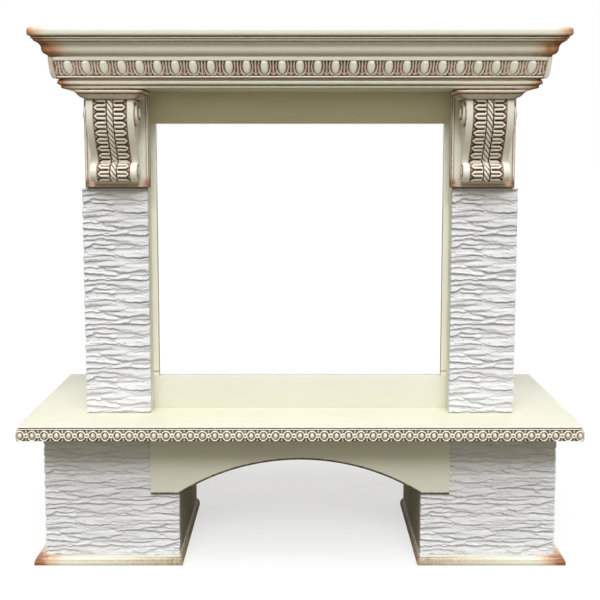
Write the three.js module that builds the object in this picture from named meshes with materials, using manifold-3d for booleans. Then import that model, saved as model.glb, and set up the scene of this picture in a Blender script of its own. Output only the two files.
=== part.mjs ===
// A fireplace mantelpiece: a painted board surround with split stone cladding. Two pedestals on
// plinth boards carry a wide hearth shelf, and two pillars on the shelf carry a moulded cornice.
// Millimetres, +Z up. The origin is on the floor, in the middle of the width and of the depth.
// +X is to the viewer's right and +Y runs back to the wall.
import * as THREE from 'three'
import { mergeVertices } from 'three/addons/utils/BufferGeometryUtils.js'
import Module from 'manifold-3d'

const wasm = await Module()
wasm.setup()

// driving dimensions
const wall = 230
const board = 16
const stone = 13
const gap = 0.25
const plinth = { inner: 264, outer: 597, front: -114, height: 17, edge: 5 }
const pedestal = { inner: 272, outer: 577, front: -99 }
const apron = { half: 335, bottom: 164, proud: 3, archHalf: 272, archRise: 79.5, archSteps: 18 }
const shelf = { half: 600, front: -210, bottom: 318, top: 351, trim: 8 }
const pillar = { inner: 329, outer: 474, front: -118, stoneTop: 848 }
const panel = { front: -74, openingHalf: 317, openingBottom: 424, openingTop: 988 }
const cornice = { half: 464, front: -147, bottom: 1057, boxBottom: 1073, slabBottom: 1158, boxReach: 30 }
const slab = { reach: 83, thickness: 17 }
const corbel = { centre: 392.5, half: 68.5, front: -123, bottom: 850, top: 1034, rim: 5, rimProud: 3 }
const scroll = { half: 50, reach: 56, fillet: 14, root: 4, foot: 864 }
const leaf = { ridge: 20, edge: 2, rise: 1, sink: -3 }
const rope = { groove: 8, half: 5, rise: 2, sink: 0.5 }
const upperVolute = { reach: 34, z: 1004, radius: 22, proud: 9, sides: 10 }
const lowerVolute = { reach: 16, z: 882.5, radius: 13, proud: 2, sides: 10 }
const eggs = { reach: 51, perCorner: 14, bottom: 1081, top: 1119 }
const beads = { pitch: 25, flat: 5, bottom: 318, top: 350 }
const course = { height: 25, depth: 5, wave: 3.5, faceFoot: 0.72 }
const cutMargin = 5

const eggPitch = (cornice.half + eggs.reach) / eggs.perCorner
const pillarBoardOuter = pillar.outer - stone
const pillarBoardFront = pillar.front + stone
const pedestalBoardOuter = pedestal.outer - stone
const pedestalBoardFront = pedestal.front + stone

const finishes = {
  ivoryPaint: { color: 0xebe6cc, roughness: 0.42, metalness: 0 },
  antiquePaint: { color: 0xd8cfb0, roughness: 0.5, metalness: 0 },
  splitStone: { color: 0xe6e4e0, roughness: 0.9, metalness: 0 }
}

const mantelpiece = new THREE.Group()

function addPiece(name, geometry, finish) {
  const mesh = new THREE.Mesh(geometry, new THREE.MeshStandardMaterial(finishes[finish]))
  mesh.name = name
  mantelpiece.add(mesh)
  return mesh
}

function addBoard(name, [x0, x1], [y0, y1], [z0, z1]) {
  const size = [Math.abs(x1 - x0), y1 - y0, z1 - z0]
  const mesh = addPiece(name, new THREE.BoxGeometry(...size), 'ivoryPaint')
  mesh.position.set((x0 + x1) / 2, (y0 + y1) / 2, (z0 + z1) / 2)
}

// runs a maker once for the left side and once for the right side
function onBothSides(make) {
  make('left', -1)
  make('right', 1)
}

// a closed body from points and triangles, turned so that its faces point out
function closedBody(points, triangles) {
  let volume = 0
  for (const [a, b, c] of triangles) {
    volume += points[a].dot(new THREE.Vector3().crossVectors(points[b], points[c]))
  }
  const index = []
  for (const [a, b, c] of triangles) index.push(...(volume > 0 ? [a, b, c] : [a, c, b]))
  const geometry = new THREE.BufferGeometry().setFromPoints(points)
  geometry.setIndex(index)
  return geometry
}

// the body between two copies of one outline, such as a length of moulding with mitred ends
function ruledBody(outline, placeStart, placeEnd) {
  const count = outline.length
  const points = outline.map(placeStart).concat(outline.map(placeEnd))
  const triangles = []
  const turn = THREE.ShapeUtils.isClockWise(outline) ? outline.slice().reverse() : outline
  const order = turn.map((point) => outline.indexOf(point))
  for (const face of THREE.ShapeUtils.triangulateShape(turn, [])) {
    const [a, b, c] = face.map((i) => order[i])
    triangles.push([a, c, b], [a + count, b + count, c + count])
  }
  for (let i = 0; i < count; i++) {
    const a = order[i]
    const b = order[(i + 1) % count]
    triangles.push([a, b, b + count], [a, b + count, a + count])
  }
  return closedBody(points, triangles)
}

// a body with a carved front, given as rows of points, and a flat back between four corners
function reliefBody(rows, backBottom, backTop) {
  const columns = rows[0].length
  const points = rows.flat().concat(backBottom, backTop)
  const corner = { bottomStart: rows.length * columns }
  corner.bottomEnd = corner.bottomStart + 1
  corner.topStart = corner.bottomStart + 2
  corner.topEnd = corner.bottomStart + 3
  const at = (row, column) => row * columns + column
  const triangles = []
  for (let row = 0; row + 1 < rows.length; row++) {
    for (let column = 0; column + 1 < columns; column++) {
      const a = at(row, column)
      const b = at(row, column + 1)
      const c = at(row + 1, column + 1)
      const d = at(row + 1, column)
      triangles.push([a, b, c], [a, c, d])
    }
  }
  // each edge of the front is joined to the two back corners behind it
  const joinEdge = (edge, start, end) => {
    const middle = Math.floor(edge.length / 2)
    for (let i = 0; i < middle; i++) triangles.push([edge[i + 1], edge[i], start])
    for (let i = middle; i + 1 < edge.length; i++) triangles.push([edge[i + 1], edge[i], end])
    triangles.push([edge[middle], start, end])
  }
  const columnList = [...Array(columns).keys()]
  const rowList = [...rows.keys()]
  const last = rows.length - 1
  joinEdge(columnList.map((column) => at(0, column)), corner.bottomStart, corner.bottomEnd)
  joinEdge(rowList.map((row) => at(row, columns - 1)), corner.bottomEnd, corner.topEnd)
  joinEdge(columnList.map((column) => at(last, column)).reverse(), corner.topEnd, corner.topStart)
  joinEdge(rowList.map((row) => at(row, 0)).reverse(), corner.topStart, corner.bottomStart)
  triangles.push([corner.bottomStart, corner.topStart, corner.topEnd])
  triangles.push([corner.bottomStart, corner.topEnd, corner.bottomEnd])
  return closedBody(points, triangles)
}

// a rectangular block whose front and ends follow a moulding; each level is a reach and a height
function mouldedBlock(levels, [x0, x1], front, back) {
  const points = []
  const triangles = []
  for (const [reach, z] of levels) {
    points.push(new THREE.Vector3(x0 - reach, back, z), new THREE.Vector3(x0 - reach, front - reach, z))
    points.push(new THREE.Vector3(x1 + reach, front - reach, z), new THREE.Vector3(x1 + reach, back, z))
  }
  for (let level = 0; level + 1 < levels.length; level++) {
    for (let side = 0; side < 4; side++) {
      const a = level * 4 + side
      const b = level * 4 + (side + 1) % 4
      triangles.push([a, b, b + 4], [a, b + 4, a + 4])
    }
  }
  const top = levels.length * 4 - 4
  triangles.push([0, 2, 1], [0, 3, 2], [top, top + 1, top + 2], [top, top + 2, top + 3])
  return closedBody(points, triangles)
}

// boolean work on closed meshes
function toSolid(geometry) {
  const bare = geometry.clone()
  bare.deleteAttribute('normal')
  bare.deleteAttribute('uv')
  const merged = mergeVertices(bare, 1e-4)
  const vertProperties = new Float32Array(merged.attributes.position.array)
  const triVerts = new Uint32Array(merged.index.array)
  return new wasm.Manifold(new wasm.Mesh({ numProp: 3, vertProperties, triVerts }))
}

function toGeometry(solid) {
  const { vertProperties, triVerts } = solid.getMesh()
  const geometry = new THREE.BufferGeometry()
  geometry.setAttribute('position', new THREE.BufferAttribute(vertProperties, 3))
  geometry.setIndex(new THREE.BufferAttribute(triVerts, 1))
  return geometry
}

function joined(geometries) {
  return toGeometry(geometries.map(toSolid).reduce((whole, next) => whole.add(next)))
}

function blockBetween([x0, x1], [y0, y1], [z0, z1]) {
  const block = new THREE.BoxGeometry(x1 - x0, y1 - y0, z1 - z0)
  return block.translate((x0 + x1) / 2, (y0 + y1) / 2, (z0 + z1) / 2)
}

// a repeatable uneven number from 0 to 1
function uneven(a, b, seed) {
  const wave = Math.sin(a * 12.9898 + b * 78.233 + seed * 37.719) * 43758.5453
  return wave - Math.floor(wave)
}

// split stone in courses: each course is set back at its foot and leans out to its upper edge
function stoneSlab(width, height, columns, seed, place) {
  const courses = Math.round(height / course.height)
  const rows = []
  const addRow = (v, depth, flat, key) => {
    const row = []
    for (let i = 0; i <= columns; i++) {
      const lift = flat ? 0 : (uneven(i, key, seed) - 0.5) * 2 * course.wave
      const out = stone - depth * (0.45 + 0.55 * uneven(i, key + 0.5, seed))
      row.push(place(width * i / columns, v + lift, out))
    }
    rows.push(row)
  }
  for (let step = 0; step < courses; step++) {
    const foot = height * step / courses
    addRow(foot, course.depth, step === 0, step * 2)
    addRow(foot + course.faceFoot * height / courses, course.depth * 0.25, false, step * 2 + 1)
  }
  addRow(height, course.depth, true, courses * 2)
  const backBottom = [place(0, 0, 0), place(width, 0, 0)]
  const backTop = [place(0, height, 0), place(width, height, 0)]
  return reliefBody(rows, backBottom, backTop)
}

// pedestals: a plinth board, a hollow box of boards and stone on the front and the outer side
function makePedestals() {
  const bottom = plinth.height
  const edge = plinth.edge
  const levels = [[0, 0], [0, 9], [-1.5, 10], [-2, 12], [-edge, 15], [-edge - 1, bottom]]
  const stoneHeight = shelf.bottom - bottom
  onBothSides((side, sign) => {
    const span = (from, to) => [sign * from, sign * to].sort((a, b) => a - b)
    const plinthSpan = span(plinth.inner, plinth.outer)
    addPiece(`plinth_board_${side}`, mouldedBlock(levels, plinthSpan, plinth.front, wall), 'ivoryPaint')

    const height = [bottom, shelf.bottom]
    const depth = [pedestalBoardFront + board, wall]
    const outerInside = pedestalBoardOuter - board
    addBoard(`pedestal_front_board_${side}`, span(pedestal.inner, pedestalBoardOuter),
      [pedestalBoardFront, pedestalBoardFront + board], height)
    addBoard(`pedestal_inner_board_${side}`, span(pedestal.inner, pedestal.inner + board), depth, height)
    addBoard(`pedestal_outer_board_${side}`, span(outerInside, pedestalBoardOuter), depth, height)

    // the front stone is cut away where the arched apron lies against the boards
    const width = pedestal.outer - pedestal.inner
    const front = stoneSlab(width, stoneHeight, 6, 11 + sign, (u, v, out) =>
      new THREE.Vector3(sign * (pedestal.inner + u), pedestalBoardFront - gap - out, bottom + v))
    const cutSpan = span(pedestal.inner - cutMargin, apron.half + gap)
    const cutDepth = [pedestal.front - cutMargin, pedestalBoardFront + cutMargin]
    const notch = blockBetween(cutSpan, cutDepth, [apron.bottom - gap, shelf.bottom + cutMargin])
    const cutFront = toGeometry(toSolid(front).subtract(toSolid(notch)))
    addPiece(`pedestal_front_stone_${side}`, cutFront, 'splitStone')

    const sideLength = wall - pedestalBoardFront
    const sideStone = stoneSlab(sideLength, stoneHeight, 3, 23 + sign, (u, v, out) =>
      new THREE.Vector3(sign * (pedestalBoardOuter + gap + out), wall - u, bottom + v))
    addPiece(`pedestal_side_stone_${side}`, sideStone, 'splitStone')
  })
}

// the arched board that spans the two pedestals under the shelf
function makeApron() {
  const { half, bottom, archHalf, archRise, archSteps } = apron
  const radius = (archHalf ** 2 + archRise ** 2) / (2 * archRise)
  const centre = bottom + archRise - radius
  const sweep = Math.asin(archHalf / radius)
  const outline = new THREE.Shape()
  outline.moveTo(-half, shelf.bottom)
  outline.lineTo(-half, bottom)
  outline.lineTo(-archHalf, bottom)
  outline.absarc(0, centre, radius, Math.PI / 2 + sweep, Math.PI / 2 - sweep, true)
  outline.lineTo(half, bottom)
  outline.lineTo(half, shelf.bottom)
  const points = outline.getPoints(archSteps).filter((point, i, all) =>
    i === 0 || point.distanceTo(all[i - 1]) > 0.01)
  const front = pedestal.front - apron.proud
  const back = pedestalBoardFront - gap
  addPiece('arched_apron', ruledBody(points,
    (point) => new THREE.Vector3(point.x, front, point.y),
    (point) => new THREE.Vector3(point.x, back, point.y)), 'ivoryPaint')
}

// the hearth shelf, with a carved bead trim on its front edge and both ends
function makeShelf() {
  const half = shelf.half - shelf.trim
  const front = shelf.front + shelf.trim
  addBoard('hearth_shelf', [-half, half], [front, wall], [shelf.bottom, shelf.top])

  // reach of each row at the middle of a bead and between two beads, from bottom to top
  const levels = [
    { z: beads.bottom, bead: 5, between: 4 },
    { z: beads.bottom + 8, bead: 8, between: 4.5 },
    { z: beads.bottom + 22, bead: 8, between: 4.5 },
    { z: beads.top, bead: 6, between: 6 }
  ]
  const stepsOf = (count) => {
    const steps = []
    for (let i = 0; i < count; i++) {
      const foot = (i + 0.5) * beads.pitch
      steps.push([foot - beads.flat, 'bead'], [foot + beads.flat, 'bead'])
      if (i + 1 < count) steps.push([(i + 1) * beads.pitch, 'between'])
    }
    return steps
  }
  const frontCount = Math.round(2 * shelf.half / beads.pitch)
  const frontSteps = stepsOf(frontCount)
  const frontRows = levels.map((level) => {
    const end = half + level.between - gap
    const row = [new THREE.Vector3(-end, front - gap - level.between, level.z)]
    for (const [along, kind] of frontSteps) {
      row.push(new THREE.Vector3(along - shelf.half, front - level[kind], level.z))
    }
    row.push(new THREE.Vector3(end, front - gap - level.between, level.z))
    return row
  })
  const corner = (x, y, z) => new THREE.Vector3(x, y, z)
  const inner = half - gap
  addPiece('bead_trim_front', reliefBody(frontRows,
    [corner(-inner, front - gap, beads.bottom), corner(inner, front - gap, beads.bottom)],
    [corner(-inner, front - gap, beads.top), corner(inner, front - gap, beads.top)]), 'antiquePaint')

  const sideCount = Math.floor((wall - shelf.front) / beads.pitch)
  const sideSteps = stepsOf(sideCount)
  onBothSides((side, sign) => {
    const rows = levels.map((level) => {
      const row = [corner(sign * (half + gap + level.between), front - level.between + gap, level.z)]
      for (const [along, kind] of sideSteps) {
        row.push(corner(sign * (half + level[kind]), shelf.front + along, level.z))
      }
      row.push(corner(sign * (half + level.between), wall, level.z))
      return row
    })
    const x = sign * (half + gap)
    addPiece(`bead_trim_${side}`, reliefBody(rows,
      [corner(x, front + gap, beads.bottom), corner(x, wall, beads.bottom)],
      [corner(x, front + gap, beads.top), corner(x, wall, beads.top)]), 'antiquePaint')
  })
}

// the plain panel between the pillars: two rails and two stiles round the fire opening
function makePanel() {
  const half = pillar.inner
  const depth = [panel.front, panel.front + board]
  addBoard('panel_bottom_rail', [-half, half], depth, [shelf.top, panel.openingBottom])
  addBoard('panel_top_rail', [-half, half], depth, [panel.openingTop, cornice.bottom])
  onBothSides((side, sign) => {
    const span = [sign * panel.openingHalf, sign * half].sort((a, b) => a - b)
    addBoard(`panel_stile_${side}`, span, depth, [panel.openingBottom, panel.openingTop])
  })
}

// pillars: a hollow box of boards, with stone on the front and the outer side up to the corbel
function makePillars() {
  const height = [shelf.top, cornice.bottom]
  const stoneHeight = pillar.stoneTop - shelf.top
  onBothSides((side, sign) => {
    const span = (from, to) => [sign * from, sign * to].sort((a, b) => a - b)
    const depth = [pillarBoardFront + board, wall]
    const returnDepth = [pillarBoardFront + board, panel.front + board]
    addBoard(`pillar_front_board_${side}`, span(pillar.inner, pillarBoardOuter),
      [pillarBoardFront, pillarBoardFront + board], height)
    addBoard(`pillar_inner_board_${side}`, span(pillar.inner, pillar.inner + board), returnDepth, height)
    addBoard(`pillar_outer_board_${side}`, span(pillarBoardOuter - board, pillarBoardOuter), depth, height)

    const front = stoneSlab(pillar.outer - pillar.inner, stoneHeight, 3, 31 + sign, (u, v, out) =>
      new THREE.Vector3(sign * (pillar.inner + u), pillarBoardFront - gap - out, shelf.top + v))
    addPiece(`pillar_front_stone_${side}`, front, 'splitStone')
    const sideLength = wall - pillarBoardFront
    const sideStone = stoneSlab(sideLength, stoneHeight, 3, 43 + sign, (u, v, out) =>
      new THREE.Vector3(sign * (pillarBoardOuter + gap + out), wall - u, shelf.top + v))
    addPiece(`pillar_side_stone_${side}`, sideStone, 'splitStone')
  })
}

// the front line of the console seen from the side: a long swell, a throat and a small roll
function consolePath() {
  const swell = new THREE.SplineCurve([
    new THREE.Vector2(scroll.reach, corbel.top),
    new THREE.Vector2(scroll.reach + 3, 1009),
    new THREE.Vector2(scroll.reach, 984),
    new THREE.Vector2(46, 959),
    new THREE.Vector2(31, 934),
    new THREE.Vector2(19, 915),
    new THREE.Vector2(12, 903)
  ])
  const roll = new THREE.EllipseCurve(16, 882.5, 20, 20, THREE.MathUtils.degToRad(100),
    THREE.MathUtils.degToRad(-110), true)
  const points = swell.getSpacedPoints(17).concat(roll.getPoints(10))
  points.push(new THREE.Vector2(-scroll.root, scroll.foot))
  return points
}

// the console: a scroll with a twisted rope down the middle and rows of leaves on both sides
function consoleBody(centreX, backY) {
  const path = consolePath()
  const leafEdge = scroll.half - scroll.fillet
  const halfColumns = [rope.half, rope.groove, leaf.ridge, leafEdge - leaf.edge, leafEdge, scroll.half]
  const columns = halfColumns.map((u) => -u).reverse().concat(0, halfColumns)
  const reliefAt = (u, station) => {
    const width = Math.abs(u)
    if (width >= leafEdge) return 0
    if (width === leafEdge - leaf.edge || width === rope.groove) return leaf.sink
    if (width === leaf.ridge) return station % 2 ? leaf.rise : leaf.sink
    return (station + (u > 0 ? 1 : 0)) % 2 ? rope.rise : rope.sink
  }
  const rows = path.map((point, station) => {
    const before = path[Math.max(station - 1, 0)]
    const after = path[Math.min(station + 1, path.length - 1)]
    const along = new THREE.Vector2().subVectors(after, before).normalize()
    const flat = station === 0 || station >= path.length - 2
    return columns.map((u) => {
      const relief = flat ? 0 : reliefAt(u, station)
      const reach = point.x - along.y * relief
      return new THREE.Vector3(centreX + u, backY - reach, point.y + along.x * relief)
    })
  })

  // the carved front, the two cheeks and the flat top and back
  const count = columns.length
  const last = rows.length - 1
  const points = rows.flat()
  const topStart = points.length
  for (const u of [columns[0], columns[count - 1]]) {
    points.push(new THREE.Vector3(centreX + u, backY + scroll.root, corbel.top))
  }
  const triangles = []
  for (let row = 0; row < last; row++) {
    for (let column = 0; column + 1 < count; column++) {
      const a = row * count + column
      triangles.push([a, a + count, a + count + 1], [a, a + count + 1, a + 1])
    }
  }
  for (const [row, flip] of [[0, false], [last, true]]) {
    const middle = Math.floor(count / 2)
    for (let column = 0; column + 1 < count; column++) {
      const a = row * count + column
      const corner = column < middle ? topStart : topStart + 1
      triangles.push(flip ? [a + 1, a, corner] : [a, a + 1, corner])
    }
    const centre = row * count + middle
    triangles.push(flip ? [centre, topStart, topStart + 1] : [centre, topStart + 1, topStart])
  }
  const cheek = path.concat(new THREE.Vector2(-scroll.root, corbel.top))
  const pointOn = (i, column) => {
    if (i > last) return column === 0 ? topStart : topStart + 1
    return i * count + column
  }
  const turn = THREE.ShapeUtils.isClockWise(cheek)
  const order = [...cheek.keys()]
  if (turn) order.reverse()
  for (const face of THREE.ShapeUtils.triangulateShape(order.map((i) => cheek[i]), [])) {
    const [a, b, c] = face.map((i) => order[i])
    triangles.push([pointOn(a, 0), pointOn(b, 0), pointOn(c, 0)])
    triangles.push([pointOn(a, count - 1), pointOn(c, count - 1), pointOn(b, count - 1)])
  }
  return closedBody(points, triangles)
}

// a low boss that stands out from a cheek of the console
function volute(centreX, faceY, { reach, z, radius, proud, sides }) {
  const profile = [
    new THREE.Vector2(0, -scroll.half - proud * 0.6),
    new THREE.Vector2(radius * 0.35, -scroll.half - proud),
    new THREE.Vector2(radius * 0.8, -scroll.half - proud),
    new THREE.Vector2(radius, -scroll.half + 1),
    new THREE.Vector2(radius, scroll.half - 1),
    new THREE.Vector2(radius * 0.8, scroll.half + proud),
    new THREE.Vector2(radius * 0.35, scroll.half + proud),
    new THREE.Vector2(0, scroll.half + proud * 0.6)
  ]
  const boss = new THREE.LatheGeometry(profile, sides)
  return boss.rotateZ(-Math.PI / 2).translate(centreX, faceY - reach, z)
}

// corbels: a rimmed backplate and its console, cast as one, under a moulded cap
function makeCorbels() {
  const capLevels = [[0, corbel.top + gap], [3, 1036], [7, 1038], [12, 1044], [16, 1045], [16, 1047],
    [18, 1048], [20, 1050], [20, 1052], [-6, 1052.5], [-6, cornice.bottom - gap]]
  onBothSides((side, sign) => {
    const x = sign * corbel.centre
    const face = corbel.front
    const rimFace = face - corbel.rimProud
    const back = pillarBoardFront - gap
    const spanX = [x - corbel.half, x + corbel.half]
    const plate = blockBetween(spanX, [face, back], [corbel.bottom, cornice.bottom - gap])
    const rimTop = corbel.top
    const leftRim = blockBetween([spanX[0], spanX[0] + corbel.rim], [rimFace, back], [corbel.bottom, rimTop])
    const rightRim = blockBetween([spanX[1] - corbel.rim, spanX[1]], [rimFace, back], [corbel.bottom, rimTop])
    const footRim = blockBetween(spanX, [rimFace, back], [corbel.bottom, corbel.bottom + corbel.rim + 2])
    const pieces = [plate, leftRim, rightRim, footRim, consoleBody(x, face)]
    pieces.push(volute(x, face, upperVolute), volute(x, face, lowerVolute))
    addPiece(`corbel_${side}`, joined(pieces), 'antiquePaint')
    const capSpan = [x - scroll.half, x + scroll.half]
    const capFront = face - scroll.reach - 1
    addPiece(`corbel_cap_${side}`, mouldedBlock(capLevels, capSpan, capFront, face - gap), 'antiquePaint')
  })
}

// a moulding of the cornice, mitred at the two front corners and run back to the wall
function corniceMoulding(name, outline, finish) {
  const { half, front } = cornice
  addPiece(`${name}_front`, ruledBody(outline,
    (point) => new THREE.Vector3(-half - point.x + gap, front - point.x, point.y),
    (point) => new THREE.Vector3(half + point.x - gap, front - point.x, point.y)), finish)
  onBothSides((side, sign) => {
    addPiece(`${name}_${side}`, ruledBody(outline,
      (point) => new THREE.Vector3(sign * (half + point.x), front - point.x + gap, point.y),
      (point) => new THREE.Vector3(sign * (half + point.x), wall, point.y)), finish)
  })
}

// egg and dart: at the crest of an egg, in the groove round it and on the dart between two eggs
function makeEggAndDart() {
  const { half, front } = cornice
  const back = cornice.boxReach + gap
  const levels = [
    { z: eggs.bottom, crest: 43.5, groove: 43.5, dart: 43.5 },
    { z: eggs.bottom + 8, crest: 47, groove: 43, dart: 45.5 },
    { z: eggs.bottom + 21, crest: 52, groove: 45, dart: 49 },
    { z: eggs.bottom + 30, crest: 51.5, groove: 46, dart: 50 },
    { z: eggs.top, crest: eggs.reach, groove: eggs.reach, dart: eggs.reach }
  ]
  const beat = [[0, 'crest'], [0.3, 'groove'], [0.5, 'dart'], [0.7, 'groove']]
  const stepsTo = (length) => {
    const steps = []
    for (let i = 0; i * eggPitch < length; i++) {
      for (const [share, kind] of beat) steps.push([(i + share) * eggPitch, kind])
    }
    return steps.filter(([along]) => along > 0 && along < length - 2)
  }
  const point = (x, y, z) => new THREE.Vector3(x, y, z)
  const frontLength = 2 * (half + eggs.reach)
  const frontSteps = stepsTo(frontLength)
  const frontRows = levels.map((level) => {
    const end = half + level.crest - gap
    const row = [point(-end, front - level.crest, level.z)]
    for (const [along, kind] of frontSteps) {
      const squeeze = (half + level.crest) / (half + eggs.reach)
      row.push(point((along - frontLength / 2) * squeeze, front - level[kind], level.z))
    }
    row.push(point(end, front - level.crest, level.z))
    return row
  })
  const inner = half + back - gap
  addPiece('egg_and_dart_front', reliefBody(frontRows,
    [point(-inner, front - back, eggs.bottom), point(inner, front - back, eggs.bottom)],
    [point(-inner, front - back, eggs.top), point(inner, front - back, eggs.top)]), 'antiquePaint')

  const sideSteps = stepsTo(wall - front + eggs.reach)
  onBothSides((side, sign) => {
    const rows = levels.map((level) => {
      const row = [point(sign * (half + level.crest), front - level.crest + gap, level.z)]
      for (const [along, kind] of sideSteps) {
        row.push(point(sign * (half + level[kind]), along + front - eggs.reach, level.z))
      }
      row.push(point(sign * (half + level.groove), wall, level.z))
      return row
    })
    const x = sign * (half + back)
    const start = front - back + gap
    addPiece(`egg_and_dart_${side}`, reliefBody(rows,
      [point(x, start, eggs.bottom), point(x, wall, eggs.bottom)],
      [point(x, start, eggs.top), point(x, wall, eggs.top)]), 'antiquePaint')
  })
}

// the cornice: a hollow box of boards that carries the mouldings and the mantel shelf
function makeCornice() {
  const { half, front, bottom, boxBottom, slabBottom, boxReach } = cornice
  const soffitReach = 12
  const soffitHalf = half + soffitReach
  addBoard('soffit_board', [-soffitHalf, soffitHalf], [front - soffitReach, wall], [bottom, boxBottom])
  const boxHalf = half + boxReach
  const boxFront = [front - boxReach, front - boxReach + board]
  addBoard('cornice_front_board', [-boxHalf, boxHalf], boxFront, [boxBottom, slabBottom])
  onBothSides((side, sign) => {
    const span = [sign * (boxHalf - board), sign * boxHalf].sort((a, b) => a - b)
    addBoard(`cornice_side_board_${side}`, span, [boxFront[1], wall], [boxBottom, slabBottom])
  })

  const bed = new THREE.Shape()
  bed.moveTo(soffitReach + gap, bottom)
  bed.lineTo(27, bottom)
  bed.lineTo(30, bottom + 1)
  bed.lineTo(30.5, bottom + 6)
  bed.lineTo(32, bottom + 8)
  bed.quadraticCurveTo(36, bottom + 9, 36, bottom + 14)
  bed.quadraticCurveTo(36, bottom + 18, 33, bottom + 19.5)
  bed.lineTo(33, eggs.bottom - gap)
  bed.lineTo(boxReach + gap, eggs.bottom - gap)
  bed.lineTo(boxReach + gap, boxBottom - gap)
  bed.lineTo(soffitReach + gap, boxBottom - gap)
  corniceMoulding('bed_moulding', bed.getPoints(4), 'ivoryPaint')

  const crown = new THREE.Shape()
  crown.moveTo(boxReach + gap, eggs.top + gap)
  crown.lineTo(50, eggs.top + gap)
  crown.quadraticCurveTo(59.5, eggs.top + 4, 60.5, eggs.top + 15)
  crown.quadraticCurveTo(61.5, eggs.top + 25, 71.5, eggs.top + 29.5)
  crown.lineTo(73.5, eggs.top + 30)
  crown.lineTo(73.5, eggs.top + 33)
  crown.lineTo(77, eggs.top + 34)
  crown.lineTo(77, slabBottom - gap)
  crown.lineTo(boxReach + gap, slabBottom - gap)
  corniceMoulding('crown_moulding', crown.getPoints(6), 'ivoryPaint')

  const slabTop = slabBottom + slab.thickness
  const slabLevels = [[slab.reach - 4, slabBottom], [slab.reach - 1.5, slabBottom + 1.5],
    [slab.reach, slabBottom + 5], [slab.reach, slabTop - 5], [slab.reach - 1.5, slabTop - 2],
    [slab.reach - 6, slabTop]]
  addPiece('mantel_shelf', mouldedBlock(slabLevels, [-half, half], front, wall), 'ivoryPaint')
}

makePedestals()
makeApron()
makeShelf()
makePanel()
makePillars()
makeCorbels()
makeCornice()
makeEggAndDart()

export default mantelpiece
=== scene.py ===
# Fireplace mantelpiece: paint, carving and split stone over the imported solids.
import math

import bpy
import numpy as np
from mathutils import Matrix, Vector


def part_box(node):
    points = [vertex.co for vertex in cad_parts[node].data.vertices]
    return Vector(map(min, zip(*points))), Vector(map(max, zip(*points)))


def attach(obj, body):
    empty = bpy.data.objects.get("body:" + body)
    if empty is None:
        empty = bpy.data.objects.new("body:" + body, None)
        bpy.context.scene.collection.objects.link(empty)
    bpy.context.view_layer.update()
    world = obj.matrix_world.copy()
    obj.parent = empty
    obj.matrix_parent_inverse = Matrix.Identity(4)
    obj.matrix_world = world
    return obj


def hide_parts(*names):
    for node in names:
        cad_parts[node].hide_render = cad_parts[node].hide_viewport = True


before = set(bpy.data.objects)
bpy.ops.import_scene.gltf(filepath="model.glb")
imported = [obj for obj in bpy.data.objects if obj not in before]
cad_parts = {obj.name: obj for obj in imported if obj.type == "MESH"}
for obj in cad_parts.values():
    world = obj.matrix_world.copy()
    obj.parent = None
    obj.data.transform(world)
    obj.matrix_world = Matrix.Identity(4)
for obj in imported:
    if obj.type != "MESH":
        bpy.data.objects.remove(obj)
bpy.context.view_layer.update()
mm = 0.001
sides = {"left": -1, "right": 1}
wallPlane = 230.0  # the wall behind the piece, in mm
print("frame loaded")


# camera and light


def addCamera():
    camera = {
        "lens": 52.8,
        "sensor": 36.0,
        "drop": 5.13,  # degrees down from level
        "place": (0.0, -2.017, 0.926),
        "shift": -0.115,
    }
    data = bpy.data.cameras.new("frontCamera")
    data.lens = camera["lens"]
    data.sensor_width = camera["sensor"]
    data.shift_y = camera["shift"]
    holder = bpy.data.objects.new("frontCamera", data)
    holder.location = camera["place"]
    holder.rotation_euler = (math.radians(90 - camera["drop"]), 0, 0)
    bpy.context.scene.collection.objects.link(holder)
    bpy.context.scene.camera = holder


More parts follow.
